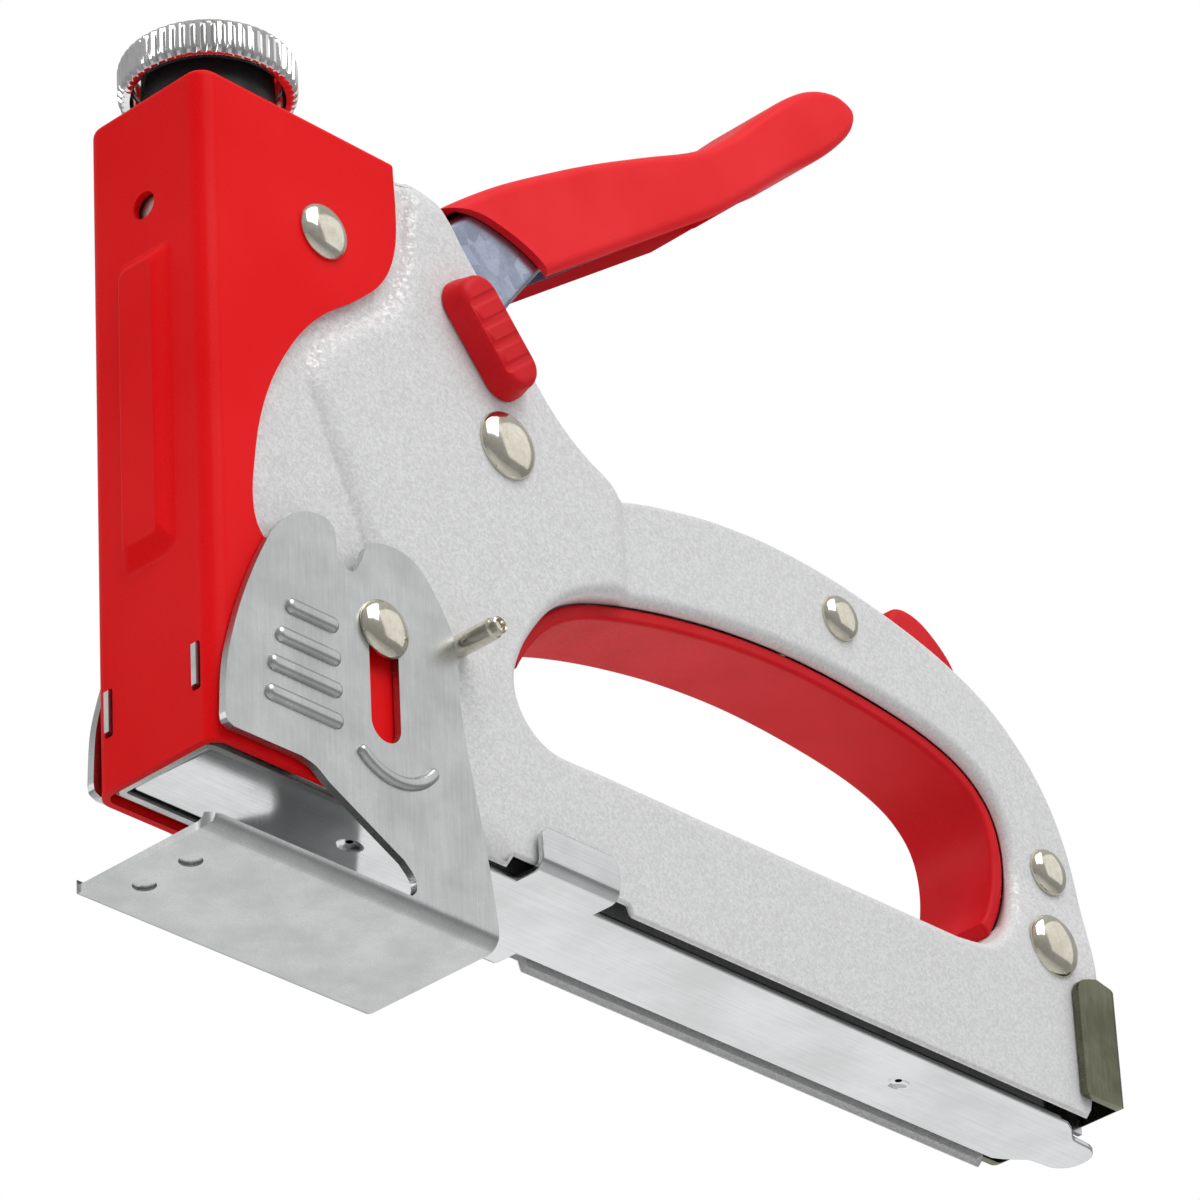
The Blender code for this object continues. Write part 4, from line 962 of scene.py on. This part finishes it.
def lockSlider():
    k = lock
    place = lambda u, v, h: (lockPoint(u, v)[0], -(k["base"] + h), lockPoint(u, v)[1])
    bar, rings = lockBar(k["length"], k["width"]), []
    rings.append([place(u, v, 0) for u, v in bar])
    for step in range(8):
        turn = pi / 2 * step / 7
        inset = k["draft"] + k["edge"] * (1 - cos(turn))
        rings.append([place(u, v, k["rise"] - k["edge"] * (1 - sin(turn))) for u, v in offsetPath(bar, -inset)])
    steps = []
    for u in k["grooves"]:
        rod = [[place(u + 1.15 * cos(tau * i / 24), v, k["rise"] + 0.8 + 1.15 * sin(tau * i / 24))
                for i in range(24)] for v in (-7, 7)]
        steps.append(("DIFFERENCE", loft(rod)))
    steps.append(("UNION", prism([[lockPoint(u, v) for u, v in lockBar(8, 3.6, -1.4)]], -12.6, -7.4)))
    steps.append(("UNION", prism([[lockPoint(u, v) for u, v in lockBar(11, 7, -1.4)]], -8.7, -7.4)))
    mesh = carve("lockSlider", loft(rings), steps, 0.25, 2, 45)
    addPiece("lockSlider", mesh, "lock", "redPlastic", ["lock_slider"], 45)


lockSlider()


# lever

lever = {"pivot": (57.5, 67.3), "lean": 35.7, "half": 6.7, "wall": 1.5, "sleeveHalf": 8.1, "sleeveEdge": 1.9,
         "rollerReach": 33.0, "rollerTurn": 201, "rollerR": 3.0}


def onLever(u, v):
    lean = radians(lever["lean"])
    x, z = lever["pivot"]
    return x + u * cos(lean) - v * sin(lean), z + u * sin(lean) + v * cos(lean)


def leverPieces():
    g = lever
    turn = radians(g["rollerTurn"] - g["lean"])
    ru, rv = g["rollerReach"] * cos(turn), g["rollerReach"] * sin(turn)
    arm = [(0, -7), (5, -5), (7.6, 0.5), (12, 12), (19, 17.6), (34, 22.4, 0), (90, 23.4, 0), (91.6, 26), (88, 28.4),
           (76, 29.8), (60, 31.8), (47, 33.2), (32, 34), (20, 33.6), (12, 30), (3, 16), (-6, 9.5), (ru + 8, rv + 3.6),
           (ru, rv + 3.4), (ru - 3.2, rv), (ru - 1, rv - 3.2), (-14, 0), (-6.5, -3.5)]
    space = [(-60, -20), (20, -20), (100, 20), (100, 26.2), (88, 26.9), (76, 28.3), (60, 30.3), (47, 31.7),
             (32, 32.5), (21, 32), (13.4, 28.6), (6, 18.5), (-2, 30), (-60, 30)]
    inner = g["half"] - g["wall"]
    steps = [cut([onLever(*p) for p in smoothPath([(*p, 0) for p in space], 1)], -inner, inner),
             cut(circlePath(*g["pivot"], 3.2, 32), -20, 20), cut(circlePath(*onLever(ru, rv), 1.4, 24), -20, 20)]
    solid = plate([[onLever(*p) for p in smoothPath(arm, 6)]], -g["half"], g["half"], 1.2, 5, place=onSide(1))
    mesh = carve("leverArm", solid, steps, 0.2, 2, 50)
    addPiece("leverArm", mesh, "lever", "armZinc", ["lever_arm"])
    sleeve = [(8, 34, 0), (17.8, 35.5), (32, 36), (47, 35.3), (58, 34.4), (70, 33), (82, 31.5), (91.5, 31.8),
              (101.5, 33.4), (111, 34.6), (118, 34.5), (123.4, 32.6), (125.6, 29.2), (123.4, 26.6), (118, 25),
              (111, 24), (103, 23.6), (92, 22.4), (80, 21.2, 0), (8, 21, 0)]
    lip = [(-5, 10, 0), (33.3, 10, 0), (33.3, 20.9, 0), (31.2, 25.1), (27.9, 29.2), (23.6, 32.9), (17.6, 35.3),
           (12, 37, 0), (-5, 40, 0)]
    room = [(0, 10), (92.6, 10), (92.6, 27.6), (89, 29.1), (76, 30.4), (60, 32.5), (47, 33.9), (32, 34.6), (10, 34.4)]
    half = g["half"] + 0.1
    solid = plate([resample([onLever(*p) for p in smoothPath(sleeve, 8)], 3)], -g["sleeveHalf"], g["sleeveHalf"],
                  g["sleeveEdge"], 6, place=onSide(1))
    steps = [cut([onLever(*p) for p in smoothPath(lip, 4)], -20.3, 20.3),
             cut([onLever(u, v if v > 10 else 4) for u, v in room], -half, half)]
    mesh = carve("leverGrip", solid, steps, 0.35, 3, 60)
    addPiece("leverGrip", mesh, "lever", "redVinyl", ["lever_grip"], 45)
    roll = [(1.4, 4.8), (g["rollerR"] - 0.3, 4.8), (g["rollerR"], 4.5), (g["rollerR"], -4.5),
            (g["rollerR"] - 0.3, -4.8), (1.4, -4.8), (1.4, 4.8)]
    x, z = onLever(ru, rv)
    makePiece("liftRoller", spin(roll, (x, 0, z), "Y", 36), "lever", "brightSteel", ["lift_roller"])


leverPieces()
print("slider and lever made")


# coil springs, each with a mesh of its own

springs = {"main": {"turns": 8, "radius": 4.8, "wire": 0.95, "low": 50.6, "high": 92.4, "keep": 0.435},
           "pusher": {"turns": 22, "radius": 2.5, "wire": 0.4, "low": 20.9, "high": 170.9, "keep": 0.27}}


def coil(spring, place, perTurn=18, sides=8):
    # a round wire along a helix whose end turns lie flat
    rings, count = [], spring["turns"] * perTurn
    rise = spring["high"] - spring["low"] - 2 * spring["wire"]
    for i in range(count + 1):
        turn = i / perTurn
        climb = min(max(turn - 0.8, 0), spring["turns"] - 1.6) / (spring["turns"] - 1.6)
        flat = (min(turn, 0.8) + max(turn - spring["turns"] + 0.8, 0)) * spring["wire"] * 1.2
        height = spring["low"] + spring["wire"] + climb * (rise - 1.92 * spring["wire"]) + flat
        angle, ring = tau * turn, []
        for k in range(sides):
            around = tau * k / sides
            radius = spring["radius"] + spring["wire"] * cos(around)
            ring.append(place(radius * cos(angle), radius * sin(angle),
                              height + spring["wire"] * sin(around)))
        rings.append(ring)
    return loft(rings)


def makeSprings():
    main = makePiece("mainSpring", coil(springs["main"], lambda x, y, z: (x + 12.6, y, z)), "seat", "springSteel",
                     ["main_spring"], 60, False)
    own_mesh(main)
    push = makePiece("pusherSpring", coil(springs["pusher"], lambda x, y, z: (z, x, y + 9.2)), "tray", "springSteel",
                     ["pusher_spring"], 60, False)
    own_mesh(push)


makeSprings()
print("springs made")


# the CAD's own pieces keep their shape and take a finish

carried = {
    "innerZinc": ("nose_channel", "screw_bridge", "magazine_channel", "staple_pusher"),
    "brightSteel": ("bumper_pin", "roller_pin", "hammer", "driver_blade", "blade_pin", "spring_seat",
                    "adjusting_screw", "staple_rail", "guide_rod"),
    "blackRubber": ("hammer_bumper",), "springSteel": ("lever_spring",)}
for look, nodes in carried.items():
    for node in nodes:
        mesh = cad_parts[node].data
        mesh.materials.clear()
        mesh.materials.append(looks[look])
print("carried over:", sum(map(len, carried.values())))


# camera, floor and light

view = {"turn": -47.31, "rise": -30.38, "roll": -3.11, "distance": 999.0, "aim": (66, 0, 56), "shift": (-104.8, 31.8),
        "reach": 7149 / 1200, "floor": -1.1, "whiteLevel": 1.0}


def axesOf(turn, rise, roll=0.0):
    a, e, k = (radians(v) for v in (turn, rise, roll))
    back = Vector((sin(a) * cos(e), -cos(a) * cos(e), sin(e)))
    right = (-back).cross(Vector((0, 0, 1))).normalized()
    up = right.cross(-back)
    return (cos(k) * right + sin(k) * up, -sin(k) * right + cos(k) * up, back)


def placeCamera():
    right, up, back = axesOf(view["turn"], view["rise"], view["roll"])
    focal = view["reach"] * 1200
    spot = Vector(view["aim"]) + back * view["distance"]
    spot -= (right * view["shift"][0] + up * view["shift"][1]) * view["distance"] / focal
    data = bpy.data.cameras.new("camera")
    data.sensor_width, data.lens = 36, 36 * view["reach"]
    data.clip_start, data.clip_end = 0.05, 20
    camera = linked("camera", data)
    turned = Matrix((right, up, back)).transposed().to_4x4()
    turned.translation = benchToWorld @ spot
    camera.matrix_world = turned
    bpy.context.scene.camera = camera


def makeFloor():
    mesh = bpy.data.meshes.new("studioFloor")
    mesh.from_pydata([(-4, -4, view["floor"]), (4, -4, view["floor"]), (4, 4, view["floor"]), (-4, 4, view["floor"])],
                     [], [(0, 1, 2, 3)])
    piece = linked("studioFloor", mesh)
    f = Finish("studioPaper", specular=0.2)
    f.set(colour=f.mix(f.span(f.noise(400, 2, 0.5), 0.3, 0.7), (0.86, 0.86, 0.86), (0.92, 0.92, 0.92)),
          roughness=f.span(f.noise(60, 2, 0.5), 0.3, 0.7, 0.8, 0.9))
    mesh.materials.append(f.material)


def softBox(name, turn, rise, distance, wide, tall, power):
    # an area light that faces the object from a direction
    right, up, back = axesOf(turn, rise)
    data = bpy.data.lights.new(name, "AREA")
    data.shape, data.size, data.size_y, data.energy = "RECTANGLE", wide, tall, power
    lamp = linked(name, data)
    spot = Matrix((right, up, back)).transposed().to_4x4()
    spot.translation = benchToWorld @ Vector(view["aim"]) + back * distance
    lamp.matrix_world = spot


def lightStudio():
    world = bpy.data.worlds.new("studio")
    bpy.context.scene.world = world
    world.use_nodes = True
    tree = world.node_tree
    tree.nodes.clear()
    out, mixer, white, soft, path, coord, split, ramp = (tree.nodes.new("ShaderNode" + kind) for kind in (
        "OutputWorld", "MixShader", "Background", "Background", "LightPath", "TexCoord", "SeparateXYZ", "ValToRGB"))
    ramp.color_ramp.elements[0].color = (0.42, 0.42, 0.43, 1)
    ramp.color_ramp.elements[1].color = (0.75, 0.75, 0.75, 1)
    white.inputs[0].default_value = (1, 1, 1, 1)
    white.inputs[1].default_value = view["whiteLevel"]
    soft.inputs[1].default_value = 0.75
    for source, target in (
            (coord.outputs["Generated"], split.inputs[0]), (split.outputs[2], ramp.inputs[0]),
            (ramp.outputs[0], soft.inputs[0]), (path.outputs["Is Camera Ray"], mixer.inputs[0]),
            (soft.outputs[0], mixer.inputs[1]), (white.outputs[0], mixer.inputs[2]),
            (mixer.outputs[0], out.inputs[0])):
        tree.links.new(source, target)
    softBox("keyLight", -8, 50, 1.5, 1.1, 1.1, 13.5)
    softBox("sideLight", 47, 28, 1.6, 1.3, 1.1, 2.5)
    softBox("noseLight", -118, 14, 1.7, 0.9, 0.9, 5)
    softBox("underLight", 133, -30, 1.0, 1.5, 1.1, 2.9)


placeCamera()
makeFloor()
lightStudio()
bpy.context.scene.view_settings.view_transform = "Standard"

print("scene ready")
